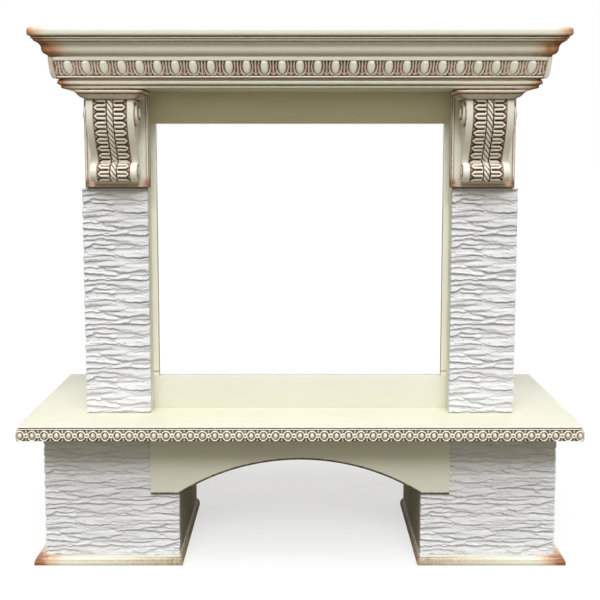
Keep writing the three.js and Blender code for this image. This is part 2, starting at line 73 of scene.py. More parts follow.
def addLights():
    # each sun: side, height in degrees, width of its disc in degrees, strength, colour
    suns = {
        "highFront": (0, 58, 50, 2.95, (0.94, 0.96, 1.0)),
        "midFront": (0, 40, 16, 0.85, (1.0, 1.0, 1.0)),
        "lowLeft": (-30, 26, 40, 0.22, (1.0, 0.95, 0.82)),
        "lowRight": (30, 26, 40, 0.22, (1.0, 0.95, 0.82)),
        "level": (0, 8, 50, 0.3, (1.0, 0.97, 0.84)),
        "leftSide": (-90, 12, 30, 0.8, (1.0, 0.99, 0.95)),
        "rightSide": (90, 12, 30, 0.8, (1.0, 0.99, 0.95)),
        "back": (180, 50, 60, 0.22, (1.0, 0.99, 0.95)),
    }
    for name, (side, height, width, strength, colour) in suns.items():
        data = bpy.data.lights.new(name, "SUN")
        data.energy = strength
        data.angle = math.radians(width)
        data.color = colour
        holder = bpy.data.objects.new(name, data)
        holder.rotation_euler = (math.radians(90 - height), 0, math.radians(side))
        bpy.context.scene.collection.objects.link(holder)

    room = {"backdrop": (1.0, 1.0, 1.0), "glow": (1.0, 0.88, 0.64), "strength": 0.03}
    world = bpy.data.worlds.new("studio")
    bpy.context.scene.world = world
    world.use_nodes = True
    tree = world.node_tree
    tree.nodes.clear()

    def node(kind, operation=None):
        made = tree.nodes.new("ShaderNode" + kind)
        if operation:
            made.operation = operation
        return made

    # the bright paper hangs behind the piece: seen directly, and mirrored in polished paint
    path = node("LightPath")
    parts = node("SeparateXYZ")
    behind = node("Math", "GREATER_THAN")
    behind.inputs[1].default_value = 0.0
    mirrored = node("Math", "MULTIPLY")
    seen = node("Math", "MAXIMUM")
    mix = node("MixShader")
    glow = node("Background")
    glow.inputs["Color"].default_value = (*room["glow"], 1)
    glow.inputs["Strength"].default_value = room["strength"]
    backdrop = node("Background")
    backdrop.inputs["Color"].default_value = (*room["backdrop"], 1)
    links = [
        (node("TexCoord").outputs["Generated"], parts.inputs[0]),
        (parts.outputs["Y"], behind.inputs[0]),
        (behind.outputs[0], mirrored.inputs[0]),
        (path.outputs["Is Glossy Ray"], mirrored.inputs[1]),
        (mirrored.outputs[0], seen.inputs[0]),
        (path.outputs["Is Camera Ray"], seen.inputs[1]),
        (seen.outputs[0], mix.inputs[0]),
        (glow.outputs[0], mix.inputs[1]),
        (backdrop.outputs[0], mix.inputs[2]),
        (mix.outputs[0], node("OutputWorld").inputs["Surface"]),
    ]
    for start, end in links:
        tree.links.new(start, end)
    bpy.context.scene.view_settings.view_transform = "Standard"


# materials


class NodeDesk:
    # a short way to lay out one material's nodes

    def __init__(self, name):
        self.material = bpy.data.materials.new(name)
        self.material.use_nodes = True
        self.tree = self.material.node_tree
        self.tree.nodes.clear()
        self.out = self.tree.nodes.new("ShaderNodeOutputMaterial")
        self.paint = self.tree.nodes.new("ShaderNodeBsdfPrincipled")
        self.link(self.paint.outputs["BSDF"], self.out.inputs["Surface"])
        self.where = self.tree.nodes.new("ShaderNodeTexCoord").outputs["Object"]

    def link(self, start, end):
        self.tree.links.new(start, end)

    def put(self, socket, value):
        if isinstance(value, bpy.types.NodeSocket):
            self.link(value, socket)
        elif isinstance(value, tuple) and len(value) == 3:
            socket.default_value = (*value, 1)
        else:
            socket.default_value = value

    def noise(self, scale, detail=3.0, rough=0.55, stretch=(1, 1, 1)):
        place = self.tree.nodes.new("ShaderNodeMapping")
        place.inputs["Scale"].default_value = stretch
        self.link(self.where, place.inputs["Vector"])
        node = self.tree.nodes.new("ShaderNodeTexNoise")
        node.inputs["Scale"].default_value = scale
        node.inputs["Detail"].default_value = detail
        node.inputs["Roughness"].default_value = rough
        self.link(place.outputs["Vector"], node.inputs["Vector"])
        return node.outputs["Fac"]

    def reading(self, name):
        node = self.tree.nodes.new("ShaderNodeAttribute")
        node.attribute_name = name
        return node.outputs["Fac"]

    def sum(self, kind, first, second, clamp=False):
        node = self.tree.nodes.new("ShaderNodeMath")
        node.operation = kind
        node.use_clamp = clamp
        for socket, value in zip(node.inputs, (first, second)):
            self.put(socket, value)
        return node.outputs[0]

    def ramp(self, value, low, high, start=0.0, end=1.0):
        node = self.tree.nodes.new("ShaderNodeMapRange")
        node.interpolation_type = "SMOOTHSTEP"
        for socket, number in zip(node.inputs, (value, low, high, start, end)):
            self.put(socket, number)
        return node.outputs[0]

    def blend(self, share, first, second):
        node = self.tree.nodes.new("ShaderNodeMix")
        node.data_type = "RGBA"
        self.put(node.inputs["Factor"], share)
        self.put(node.inputs["A"], first)
        self.put(node.inputs["B"], second)
        return node.outputs["Result"]

    def bump(self, height, depth, strength=1.0):
        node = self.tree.nodes.new("ShaderNodeBump")
        node.inputs["Strength"].default_value = strength
        node.inputs["Distance"].default_value = depth
        self.put(node.inputs["Height"], height)
        self.link(node.outputs["Normal"], self.paint.inputs["Normal"])


def makePaint(name, look):
    # satin paint with a soft cloud, rubbed patina at corners and dark glaze in the recesses; on some pieces
    # the same darkening is painted shade
    desk = NodeDesk(name)
    cloud = desk.noise(look["cloudScale"], 4)
    colour = desk.blend(desk.ramp(cloud, 0.3, 0.7), look["light"], look["deep"])
    fleck = desk.noise(look["fleckScale"], 2, 0.7)
    colour = desk.blend(desk.ramp(fleck, 0.62, 0.75, 0.0, look["fleck"]), colour, look["fleckColour"])
    patinaBreak = desk.noise(look["patinaScale"], 5, 0.65)
    patina = desk.reading("patina")
    patina = desk.sum("MULTIPLY", patina, desk.ramp(patinaBreak, 0.2, 0.75, 0.72, 1.22), clamp=True)
    warm = desk.blend(desk.ramp(patina, 0.35, 1.0), look["patinaLight"], look["patinaDark"])
    colour = desk.blend(desk.ramp(patina, 0.02, 0.75), colour, warm)
    recess = desk.reading("recess")
    glazeAndShadeBreak = desk.noise(look["glazeAndShadeScale"], 4, 0.7)
    glazeAndShadeAmount = desk.sum("MULTIPLY", recess, desk.ramp(glazeAndShadeBreak, 0.25, 0.75, 0.75, 1.2), clamp=True)
    glazeAndShadeAmount = desk.sum("MULTIPLY", glazeAndShadeAmount, look["glazeAndShade"], clamp=True)
    glazeAndShade = desk.blend(desk.ramp(glazeAndShadeAmount, 0.3, 1.0), look["glazeAndShadeLight"], look["glazeAndShadeDark"])
    colour = desk.blend(desk.ramp(glazeAndShadeAmount, 0.0, 0.8), colour, glazeAndShade)
    desk.put(desk.paint.inputs["Base Color"], colour)
    rough = desk.ramp(desk.noise(look["cloudScale"] * 3, 3), 0.3, 0.7, look["rough"][0], look["rough"][1])
    rough = desk.sum("ADD", rough, desk.sum("MULTIPLY", glazeAndShadeAmount, 0.25), clamp=True)
    desk.put(desk.paint.inputs["Roughness"], rough)
    desk.put(desk.paint.inputs["Coat Weight"], look["coat"])
    desk.put(desk.paint.inputs["Coat Roughness"], look["coatRough"])
    if look["grainDepth"]:
        desk.bump(desk.noise(look["grainScale"], 4, 0.6, look["grain"]), look["grainDepth"], 0.5)
    return desk.material


ivory = {
    "light": (0.80, 0.785, 0.68),
    "deep": (0.775, 0.755, 0.64),
    "cloudScale": 7.0,
    "fleckScale": 420.0,
    "fleck": 0.25,
    "fleckColour": (0.72, 0.68, 0.48),
    "patinaScale": 60.0,
    "patinaLight": (0.66, 0.34, 0.17),
    "patinaDark": (0.28, 0.105, 0.05),
    "glazeAndShadeScale": 140.0,
    "glazeAndShade": 0.9,
    "glazeAndShadeLight": (0.44, 0.32, 0.17),
    "glazeAndShadeDark": (0.10, 0.062, 0.028),
    "rough": (0.3, 0.42),
    "coat": 0.25,
    "coatRough": 0.12,
    "grainScale": 260.0,
    "grain": (1.0, 1.0, 1.0),
    "grainDepth": 0.00012,
}
carved = dict(
    ivory,
    light=(0.83, 0.805, 0.715),
    deep=(0.79, 0.765, 0.66),
    glazeAndShade=1.0,
    glazeAndShadeLight=(0.50, 0.31, 0.20),
    glazeAndShadeDark=(0.13, 0.072, 0.042),
    patinaLight=(0.47, 0.27, 0.15),
    patinaDark=(0.19, 0.08, 0.045),
    rough=(0.36, 0.5),
    coat=0.12,
    grainDepth=0.00018,
)
glossyShelf = dict(
    ivory, light=(0.715, 0.70, 0.55), deep=(0.70, 0.685, 0.53), fleck=0.0, rough=(0.29, 0.29), coat=0.12,
    grainDepth=0.0,
)
smoothSlab = dict(ivory, fleck=0.0, grainDepth=0.00004)
# the same ivory on these boards, tinted board by board to stand in for light: painted shade on the bottom
# rail (darker), the top rail (warmer, olive) and the apron (greyer, darker), painted light on the stiles
# (paler)
paintedShadeRail = dict(ivory, light=(0.705, 0.70, 0.60), deep=(0.69, 0.68, 0.575))
paintedShadeFrieze = dict(ivory, light=(0.83, 0.775, 0.565), deep=(0.80, 0.745, 0.53))
paintedLightStile = dict(ivory, light=(0.89, 0.875, 0.75), deep=(0.87, 0.855, 0.72))
paintedShadeApron = dict(ivory, light=(0.735, 0.74, 0.625), deep=(0.71, 0.715, 0.60), glazeAndShadeDark=(0.05, 0.042, 0.025))
oliveTrim = dict(carved, glazeAndShadeLight=(0.47, 0.345, 0.225), glazeAndShadeDark=(0.13, 0.088, 0.052))
# the pedestals' inner boards: the ivory darkened to about half, painted shade
paintedShadeInnerSide = dict(
    ivory, light=(0.4, 0.385, 0.29), deep=(0.36, 0.345, 0.255), fleck=0.1, rough=(0.6, 0.7), coat=0.0,
)


def makeStone(name):
    look = {
        "light": (0.735, 0.74, 0.75),
        "deep": (0.67, 0.678, 0.70),
        "creaseShade": (0.44, 0.43, 0.42),
        "grainScale": 900.0,
        "patchScale": 22.0,
        "ridgeScale": 170.0,
        "bumpDepth": 0.0012,
    }
    desk = NodeDesk(name)
    patch = desk.noise(look["patchScale"], 5, 0.6, (1, 1, 3))
    colour = desk.blend(desk.ramp(patch, 0.3, 0.7), look["light"], look["deep"])
    # the creases between the shards are painted grey: painted shade
    creaseShade = desk.reading("recess")
    colour = desk.blend(desk.sum("MULTIPLY", creaseShade, 0.5, clamp=True), colour, look["creaseShade"])
    desk.put(desk.paint.inputs["Base Color"], colour)
    desk.put(desk.paint.inputs["Roughness"], 0.92)
    desk.put(desk.paint.inputs["Specular IOR Level"], 0.25)
    grain = desk.noise(look["grainScale"], 3, 0.7)
    ridges = desk.noise(look["ridgeScale"], 5, 0.6, (1, 1, 3.5))
    height = desk.sum("ADD", desk.sum("MULTIPLY", grain, 0.35), ridges)
    desk.bump(height, look["bumpDepth"], 0.7)
    return desk.material


addCamera()
addLights()
paints = {
    "ivory_paint": makePaint("ivoryPaint", ivory),
    "moulded_ivory_paint": makePaint("mouldedIvoryPaint", dict(ivory, glazeAndShade=1.0)),
    "carved_antique_paint": makePaint("carvedAntiquePaint", carved),
    "shelf": makePaint("glossyShelfPaint", glossyShelf),
    "shaded": makePaint("innerSidePaintedShade", paintedShadeInnerSide),
    "stile": makePaint("stilePaintedLight", paintedLightStile),
    "slab": makePaint("mantelShelfPaint", smoothSlab),
    "rail": makePaint("bottomRailPaintedShade", paintedShadeRail),
    "frieze": makePaint("topRailPaintedShade", paintedShadeFrieze),
    "apron": makePaint("apronPaintedShade", paintedShadeApron),
    "trim": makePaint("beadTrimPaint", oliveTrim),
    "split_stone": makeStone("splitStone"),
}
print("camera, light and finishes made")


# mesh tools


def addPiece(name, points, faces, slot, replaced, paint=None, sharp=None, **readings):
    # points in mm; each reading is one number per point, for the finish
    mesh = bpy.data.meshes.new(name)
    points = np.asarray(points, float) * mm
    mesh.from_pydata(points.tolist(), [], faces)
    for key in ("patina", "recess"):
        values = np.zeros(len(points), np.float32)
        if key in readings:
            values[: len(readings[key])] = readings[key]
        mesh.attributes.new(key, "FLOAT", "POINT").data.foreach_set("value", values)
    mesh.validate()
    mesh.update()
    mesh.shade_smooth()
    if sharp is not None:
        mesh.set_sharp_from_angle(angle=math.radians(sharp))
    piece = bpy.data.objects.new(name, mesh)
    bpy.context.scene.collection.objects.link(piece)
    mesh.materials.append(paints[paint or slot])
    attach(piece, "root")
    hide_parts(*replaced)


def gridIndex(rows, columns):
    # the number of each point in a grid
    return np.arange(rows * columns).reshape(rows, columns)


def quadRun(*runs):
    # quads whose corners are read off four equal runs of point numbers
    return np.stack(runs, 1).tolist()


def gridFaces(at):
    return quadRun(at[:-1, :-1].ravel(), at[:-1, 1:].ravel(), at[1:, 1:].ravel(), at[1:, :-1].ravel())


def loopFaces(rows, columns):
    # a grid whose rows are closed loops: its faces, the strip that closes the loops and both ends
    # the two ends wind against the rest, which two-sided paint hides
    at = gridIndex(rows, columns)
    faces = gridFaces(at) + quadRun(at[:-1, 0], at[1:, 0], at[1:, -1], at[:-1, -1])
    return faces + [at[0].tolist(), at[-1, ::-1].tolist()]


def reliefSolid(front, back):
    # a closed body: a carved front grid, and its rim taken back to the plane given by back()
    at = gridIndex(*front.shape[:2])
    faces = gridFaces(at)
    rim = np.concatenate([at[0, :], at[1:, -1], at[-1, -2::-1], at[-2:0:-1, 0]]).tolist()
    points = front.reshape(-1, 3)
    behind = np.array([back(point) for point in points[rim]])
    start = len(points)
    count = len(rim)
    for i in range(count):
        j = (i + 1) % count
        faces.append([rim[i], start + i, start + j, rim[j]])
    faces.append([start + i for i in range(count)][::-1])
    return np.concatenate([points, behind]), faces


def turnedOut(points, faces):
    # flips every face of a closed body if they point in
    p = np.asarray(points, float)
    p = p - p.mean(0)
    quads = np.array([face[:4] for face in faces if len(face) == 4])
    a, b, c, d = (p[quads[:, i]] for i in range(4))
    volume = np.einsum("ij,ij->i", a, np.cross(b, c)).sum()
    volume += np.einsum("ij,ij->i", a, np.cross(c, d)).sum()
    for face in faces:
        if len(face) != 4:
            for i in range(1, len(face) - 1):
                volume += np.dot(p[face[0]], np.cross(p[face[i]], p[face[i + 1]]))
    return faces if volume > 0 else [face[::-1] for face in faces]


def bend(start, control, end, steps):
    # points of a quadratic bend, without its start
    start, control, end = (np.array(p, float) for p in (start, control, end))
    share = np.linspace(0, 1, steps + 1)[1:, None]
    return ((1 - share) ** 2 * start + 2 * share * (1 - share) * control + share**2 * end).tolist()


def shadedBend(start, control, end, shades):
    # the same bend with one step for each recess
    return [(p, z, shade) for (p, z), shade in zip(bend(start, control, end, len(shades)), shades)]


def smoothStep(value, low, high):
    share = np.clip((value - low) / (high - low), 0, 1)
    return share * share * (3 - 2 * share)


def valueNoise(x, y, seed):
    # smooth noise from 0 to 1 at any points, the same on every run
    table = np.random.default_rng(seed).random((128, 128))
    x0 = np.floor(x).astype(int)
    y0 = np.floor(y).astype(int)
    fx = x - x0
    fy = y - y0
    fx = fx * fx * (3 - 2 * fx)
    fy = fy * fy * (3 - 2 * fy)
    a = table[x0 % 128, y0 % 128]
    b = table[(x0 + 1) % 128, y0 % 128]
    c = table[x0 % 128, (y0 + 1) % 128]
    d = table[(x0 + 1) % 128, (y0 + 1) % 128]
    return (a * (1 - fx) + b * fx) * (1 - fy) + (c * (1 - fx) + d * fx) * fy


def cloudNoise(x, y, seed, octaves=4):
    total = 0.0
    weight = 1.0
    whole = 0.0
    for octave in range(octaves):
        total = total + weight * valueNoise(x * 2**octave, y * 2**octave, seed + octave)
        whole += weight
        weight *= 0.5
    return total / whole


def distanceToLine(x, y, line):
    # distance from each point to a run of straight segments
    nearest = np.full(np.shape(x), 1e9)
    for (x0, y0), (x1, y1) in zip(line[:-1], line[1:]):
        length = (x1 - x0) ** 2 + (y1 - y0) ** 2
        share = np.clip(((x - x0) * (x1 - x0) + (y - y0) * (y1 - y0)) / max(length, 1e-9), 0, 1)
        nearest = np.minimum(nearest, np.hypot(x - x0 - share * (x1 - x0), y - y0 - share * (y1 - y0)))
    return nearest


def roundRidge(distance, half, height):
    # height of a half-round ridge at a distance from its middle line
    return height * np.sqrt(np.clip(1 - (distance / half) ** 2, 0, 1))


# boards


def edgedBoard(name, paint=None, edge=0.6, joint=None):
    # a board with softly rounded edges, at the place of its solid
    low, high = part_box(name)
    low = np.array(low) / mm
    high = np.array(high) / mm
    mid = edge * (1 - math.sqrt(0.5))
    points = []
    faces = []
    recess = []
    # three insets for each edge round it over; a joint is a fine groove across the board
    steps = [(0.0, edge), (mid, mid), (edge, 0.0)]
    levels = [(low[2] + d, i, 0.0) for i, d in reversed(steps)]
    if joint:
        levels += [(joint - 1.3, 0.0, 0.0), (joint - 0.7, 0.1, 1.0), (joint, 0.8, 1.0)]
        levels += [(joint + 0.7, 0.1, 1.0), (joint + 1.3, 0.0, 0.0)]
    levels += [(high[2] - d, i, 0.0) for i, d in steps]
    for z, inset, dark in levels:
        x0, x1 = low[0] + inset, high[0] - inset
        y0, y1 = low[1] + inset, high[1] - inset
        points += [(x0, y0, z), (x1, y0, z), (x1, y1, z), (x0, y1, z)]
        recess += [dark] * 4
    for level in range(len(levels) - 1):
        for side in range(4):
            a = level * 4 + side
            b = level * 4 + (side + 1) % 4
            faces.append([a, b, b + 4, a + 4])
    top = len(points) - 4
    faces += [[3, 2, 1, 0], [top, top + 1, top + 2, top + 3]]
    title = "".join(word.capitalize() if i else word for i, word in enumerate(name.split("_")))
    addPiece(title, points, faces, "ivory_paint", [name], paint, sharp=30, recess=recess)


def makeBoards():
    for side in sides:
        for part in ("front", "inner", "outer"):
            edgedBoard(f"pedestal_{part}_board_{side}", paint="shaded" if part == "inner" else None)
            edgedBoard(f"pillar_{part}_board_{side}")
        edgedBoard(f"panel_stile_{side}", paint="stile", joint=435.0)
        edgedBoard(f"cornice_side_board_{side}")
    edgedBoard("panel_bottom_rail", paint="rail")
    edgedBoard("panel_top_rail", paint="frieze")
    edgedBoard("soffit_board")
    edgedBoard("cornice_front_board")
    edgedBoard("hearth_shelf", paint="shelf", edge=1.2)
    print("boards made")


makeBoards()


# apron


def makeApron():
    apron = {
        "half": 335.0,
        "top": 318.0,
        "bottom": 160.0,
        "front": -102.0,
        "back": -86.25,
        "archHalf": 272.0,
        "archRise": 79.5,
        "roundOver": 3.0,
        "steps": 72,
    }
    radius = (apron["archHalf"] ** 2 + apron["archRise"] ** 2) / (2 * apron["archRise"])
    centre = apron["bottom"] + apron["archRise"] - radius
    sweep = math.asin(apron["archHalf"] / radius)
    angles = np.linspace(-sweep, sweep, apron["steps"] + 1)
    low = [(-apron["half"], apron["bottom"])]
    low += [(radius * math.sin(a), centre + radius * math.cos(a)) for a in angles]
    low += [(apron["half"], apron["bottom"])]
    low = np.array(low)
    # direction up and away from the lower edge at each point
    away = np.zeros_like(low)
    away[:, 1] = 1
    away[1:-1, 0] = np.sin(angles)
    away[1:-1, 1] = np.cos(angles)
    for i in (1, len(low) - 2):
        corner = away[i] + (0, 1)
        away[i] = corner / (np.linalg.norm(corner) ** 2 / 2)
    rows = []
    recess = []
    size = apron["roundOver"]
    turns = np.linspace(0, math.pi / 2, 7)
    rings = [(0.0, apron["back"], 0.9)]
    rings += [(size * (1 - math.sin(t)), apron["front"] + size * (1 - math.cos(t)), r)
              for t, r in zip(turns[::-1], [1.0] * 6 + [0.9])]
    rings += [(size + 1.6, apron["front"], 0.8), (size + 3.0, apron["front"], 0.0)]
    for inset, y, dark in rings:
        line = low + away * inset
        rows.append(np.column_stack([line[:, 0], np.full(len(line), y), line[:, 1]]))
        recess += [dark] * len(line)
    for y in (apron["front"], apron["back"]):
        rows.append(np.column_stack([low[:, 0], np.full(len(low), y), np.full(len(low), apron["top"])]))
        recess += [0.0] * len(low)
    grid = np.array(rows)
    at = gridIndex(*grid.shape[:2])
    faces = gridFaces(at) + quadRun(at[0, 1:], at[0, :-1], at[-1, :-1], at[-1, 1:])
    faces += [at[:, 0].tolist(), at[::-1, -1].tolist()]
    points = grid.reshape(-1, 3)
    faces = turnedOut(points, faces)
    addPiece("archedApron", points, faces, "ivory_paint", ["arched_apron"], "apron", sharp=40, recess=recess)
    print("apron made")


makeApron()


# mouldings with mitred corners

cornice = {"half": 464.0, "front": -147.0}
mitreGap = 0.12
# distances from a mitred corner at which the patina is set
mitreStops = np.array([0, 3, 7, 12, 18, 26, 36, 48, 64, 84, 110.0])


def patinaAt(distance, reach):
    # brown rubbed into an outer corner, fading along the length
    return np.clip(1 - distance / reach, 0, 1) ** 1.4


def sweepMoulding(title, node, profile, slot, patinaReach):
    # profile rows: reach out from the box, height, recess; one mitred length on each of three sides
    profile = np.array(profile, float)
    reach, height, recess = profile.T
    stops = mitreStops.tolist()
    half, front = cornice["half"], cornice["front"]

    def build(name, replaced, place, distances):
        grid = np.array([place(reach, height, k) for k in range(len(distances))])
        at = gridIndex(*grid.shape[:2])
        # the flat strip that closes the profile winds against the rest, which two-sided paint hides
        faces = gridFaces(at) + quadRun(at[:-1, 0], at[:-1, -1], at[1:, -1], at[1:, 0])
        faces += [at[0, ::-1].tolist(), at[-1].tolist()]
        points = grid.reshape(-1, 3)
        rub = np.repeat(patinaAt(np.array(distances), patinaReach), len(reach))
        dark = np.tile(recess, len(distances))
        addPiece(name, points, turnedOut(points, faces), slot, [replaced], sharp=38, patina=rub, recess=dark)

    signs = [-1] * len(stops) + [1] * len(stops)
    along = stops + stops[::-1]

    def placeFront(p, z, k):
        x = signs[k] * (half + p - along[k] - (mitreGap if along[k] == 0 else 0))
        return np.column_stack([x, front - p, z])

    build(title + "Front", node + "_front", placeFront, along)
    for side, sign in sides.items():
        # the last stop lies at the wall, past the reach of the patina
        sideStops = stops + [wallPlane - front + 90.0]

        def placeSide(p, z, k, sign=sign, sideStops=sideStops):
            y = front - p + sideStops[k] + (mitreGap if k == 0 else 0)
            if k == len(sideStops) - 1:
                y = np.full(len(p), wallPlane)
            return np.column_stack([sign * (half + p), y, z])

        build(title + side.capitalize(), f"{node}_{side}", placeSide, sideStops)


def makeBedMoulding():
    bed = {"back": 12.25, "box": 30.25, "low": 1057.0, "ledge": 1072.75, "top": 1077.2}
    profile = [(bed["back"], bed["ledge"], 0), (bed["back"], bed["low"], 0.3), (26.0, bed["low"], 0.3)]
    profile += shadedBend((26, 1057), (30.5, 1056.9), (30.6, 1060), [0.15] * 5)
    profile += [(30.7, 1062.0, 0.25), (30.4, 1063.2, 0.95), (31.6, 1064.0, 1.0), (33.2, 1064.6, 0.35)]
    profile += shadedBend((33.2, 1064.6), (37.2, 1065.2), (36.6, 1069.0), [0.0] * 7)
    profile += shadedBend((36.6, 1069.0), (36.0, 1073.2), (33.6, 1074.6), [0.0] * 6)
    profile += [(33.4, 1075.4, 0.15), (33.2, 1076.2, 0.35), (33.4, bed["top"], 0.4)]
    profile += [(bed["box"], bed["top"], 0), (bed["box"], bed["ledge"], 0)]
    sweepMoulding("bedMoulding", "bed_moulding", profile, "moulded_ivory_paint", 42)


def makeCrownMoulding():
    crown = {"back": 30.25, "low": 1119.25, "top": 1157.75}
    profile = [(crown["back"], crown["top"], 0), (crown["back"], crown["low"], 0), (49.6, crown["low"], 0.1)]
    profile += [(50.6, 1119.6, 0.0), (50.9, 1121.6, 0.0), (51.2, 1122.6, 0.55), (52.2, 1123.2, 0.6)]
    profile += shadedBend((52.2, 1123.2), (60.6, 1125.5), (61.0, 1135.0),
                          [0.35, 0.2, 0.12, 0.06] + [0.0] * 5)
    profile += shadedBend((61.0, 1135.0), (61.4, 1144.0), (70.0, 1147.4),
                          [0.0] * 4 + [0.05, 0.12, 0.2, 0.3, 0.4])
    profile += [(70.6, 1148.2, 0.85), (71.2, 1148.8, 0.9), (72.6, 1149.0, 0.4), (73.6, 1149.6, 0.0)]
    profile += [(73.9, 1151.6, 0.0), (73.7, 1152.7, 0.7), (74.4, 1153.2, 0.8), (76.4, 1153.3, 0.3)]
    profile += [(77.2, 1154.0, 0.0), (77.2, 1155.6, 0.1), (77.0, 1156.6, 0.9), (76.8, crown["top"], 1.0)]
    sweepMoulding("crownMoulding", "crown_moulding", profile, "moulded_ivory_paint", 78)


def makeMantelShelf():
    # the top board: its rounded edge runs round the front and both ends
    slab = {"bottom": 1158.0, "top": 1175.0, "reach": 83.0, "patina": 52.0}
    half, front = cornice["half"], cornice["front"]
    # the exposed underside and the lower turn of the rounded edge are darkened: painted shade under the slab
    edge = [(60.0, slab["bottom"], 0.9), (77.0, slab["bottom"], 0.95), (79.4, slab["bottom"] + 0.1, 0.95)]
    edge += shadedBend((79.4, 1158.1), (82.6, 1158.6), (83.0, 1163.0), [0.5, 0.15] + [0.0] * 4)
    edge += [(83.0, 1168.5, 0.0)]
    edge += shadedBend((83.0, 1168.5), (82.8, 1174.6), (76.5, 1175.0), [0.0] * 7)
    edge += [(70.0, 1175.0, 0.0), (40.0, 1175.0, 0.0)]
    # up to the wall on the left, along the front and back to the wall on the right
    near = mitreStops.tolist()
    columns = [("left", None)] + [("left", stop) for stop in near[::-1]]
    columns += [("frontLeft", stop) for stop in near[1:]] + [("frontRight", stop) for stop in near[:0:-1]]
    columns += [("right", stop) for stop in near] + [("right", None)]
    grid = []
    rub = []
    dark = []
    for where, distance in columns:
        row = []
        for p, z, d in edge:
            if where in ("left", "right"):
                sign = sides[where]
                y = wallPlane if distance is None else front - p + distance
                row.append((sign * (half + p), y, z))
            else:
                sign = -1 if where == "frontLeft" else 1
                row.append((sign * (half + p - distance), front - p, z))
            dark.append(d)
            flat = p < 75 and (z > 1174 or p < 61)
            rub.append(0 if distance is None or flat else 0.85 * float(patinaAt(distance, slab["patina"])))
        grid.append(row)
    grid = np.array(grid)
    at = gridIndex(*grid.shape[:2])
    faces = gridFaces(at) + [at[:, 0].tolist(), at[::-1, -1].tolist(), at[0, ::-1].tolist(), at[-1].tolist()]
    # the back is closed between the two ends
    faces += [at[[0, -1, -1, 0], [0, 0, -1, -1]].tolist()]
    points = grid.reshape(-1, 3)
    addPiece("mantelShelf", points, turnedOut(points, faces), "moulded_ivory_paint", ["mantel_shelf"],
             paint="slab", sharp=38, patina=rub, recess=dark)


makeBedMoulding()
makeCrownMoulding()
makeMantelShelf()
print("bed moulding, crown moulding and mantel shelf made")


# egg and dart


def eggRelief(u, v, pitch):
    # carved height over the groove floor at a place along (0 at an egg) and up the band
    eggs = {
        "eggTop": 6.9,
        "eggWide": 8.4,
        "eggLevel": 24.0,
        "eggFoot": 6.6,
        "eggRise": 6.8,
        "shellWide": 12.9,
        "shellFoot": 4.4,
        "shellHalf": 1.35,
        "shellRise": 3.6,
        "dartHalf": 1.5,
        "dartRise": 3.8,
        "slotTop": 34.2,
        "rimTop": 3.0,
    }
    u = (u + pitch / 2) % pitch - pitch / 2
    a = np.abs(u)
    level = eggs["eggLevel"]
    # egg: widest at its level, open at the top and rounded to a point at its foot
    up = np.clip((v - level) / (eggs["slotTop"] - level), 0, 1)
    down = np.clip((level - v) / (level - eggs["eggFoot"]), 0, 1)
    half = np.where(v > level, eggs["eggWide"] - (eggs["eggWide"] - eggs["eggTop"]) * up,
                    eggs["eggWide"] * np.sqrt(np.clip(1 - down**2.1, 0, 1)))
    inside = np.clip(1 - (a / np.maximum(half, 0.05)) ** 2, 0, 1)
    egg = eggs["eggRise"] * np.sqrt(inside) * (1 - 0.45 * down**2.5)
    egg = np.where((v < eggs["eggFoot"]) | (half < 0.2), 0, egg)
    egg = egg * (1 - 0.62 * smoothStep(v, eggs["slotTop"] - 5, eggs["slotTop"] + 0.5))
    # shell: a thin loop round the egg
    down = np.clip((level - v) / (level - eggs["shellFoot"]), 0, 1)
    wide = np.where(v > level, eggs["shellWide"] - 1.9 * up,
                    eggs["shellWide"] * np.sqrt(np.clip(1 - down**2.2, 0, 1)))
    gap = np.abs(a - wide)
    slope = np.where(v > level, 0.2, 2.2 * down / np.maximum(1 - down**2.2, 0.03) ** 0.5 * 0.75)
    gap = gap / np.sqrt(1 + slope**2)
    foot = np.hypot(a, np.abs(v - eggs["shellFoot"]))
    gap = np.where(v < eggs["shellFoot"], foot, np.minimum(gap, foot + 0.1))
    shell = roundRidge(gap, eggs["shellHalf"], eggs["shellRise"])
    # dart: a thin spear with two small curls at its foot
    fromDart = pitch / 2 - a
    spear = roundRidge(fromDart, eggs["dartHalf"], eggs["dartRise"])
    spear = np.where(v > 7.5, spear, 0)
    curl = distanceToLine(fromDart, v, [(0, 6.2), (2.2, 6.6), (4.2, 8.2), (5.3, 10.4)])
    curls = roundRidge(curl, 1.15, 2.8)
    carving = np.maximum.reduce([egg, shell, spear, curls])
    # plain fillet above the slots and a bead along the foot
    fillet = smoothStep(v, eggs["slotTop"] - 0.5, eggs["slotTop"] + 0.5) * 4.9
    rim = roundRidge(np.abs(v - eggs["rimTop"] / 2 - 0.3), 1.9, 3.2)
    isEgg = (egg > 1.2) | (v > eggs["slotTop"]) | (v < eggs["rimTop"] + 1)
    return np.maximum.reduce([carving, fillet, rim]), isEgg


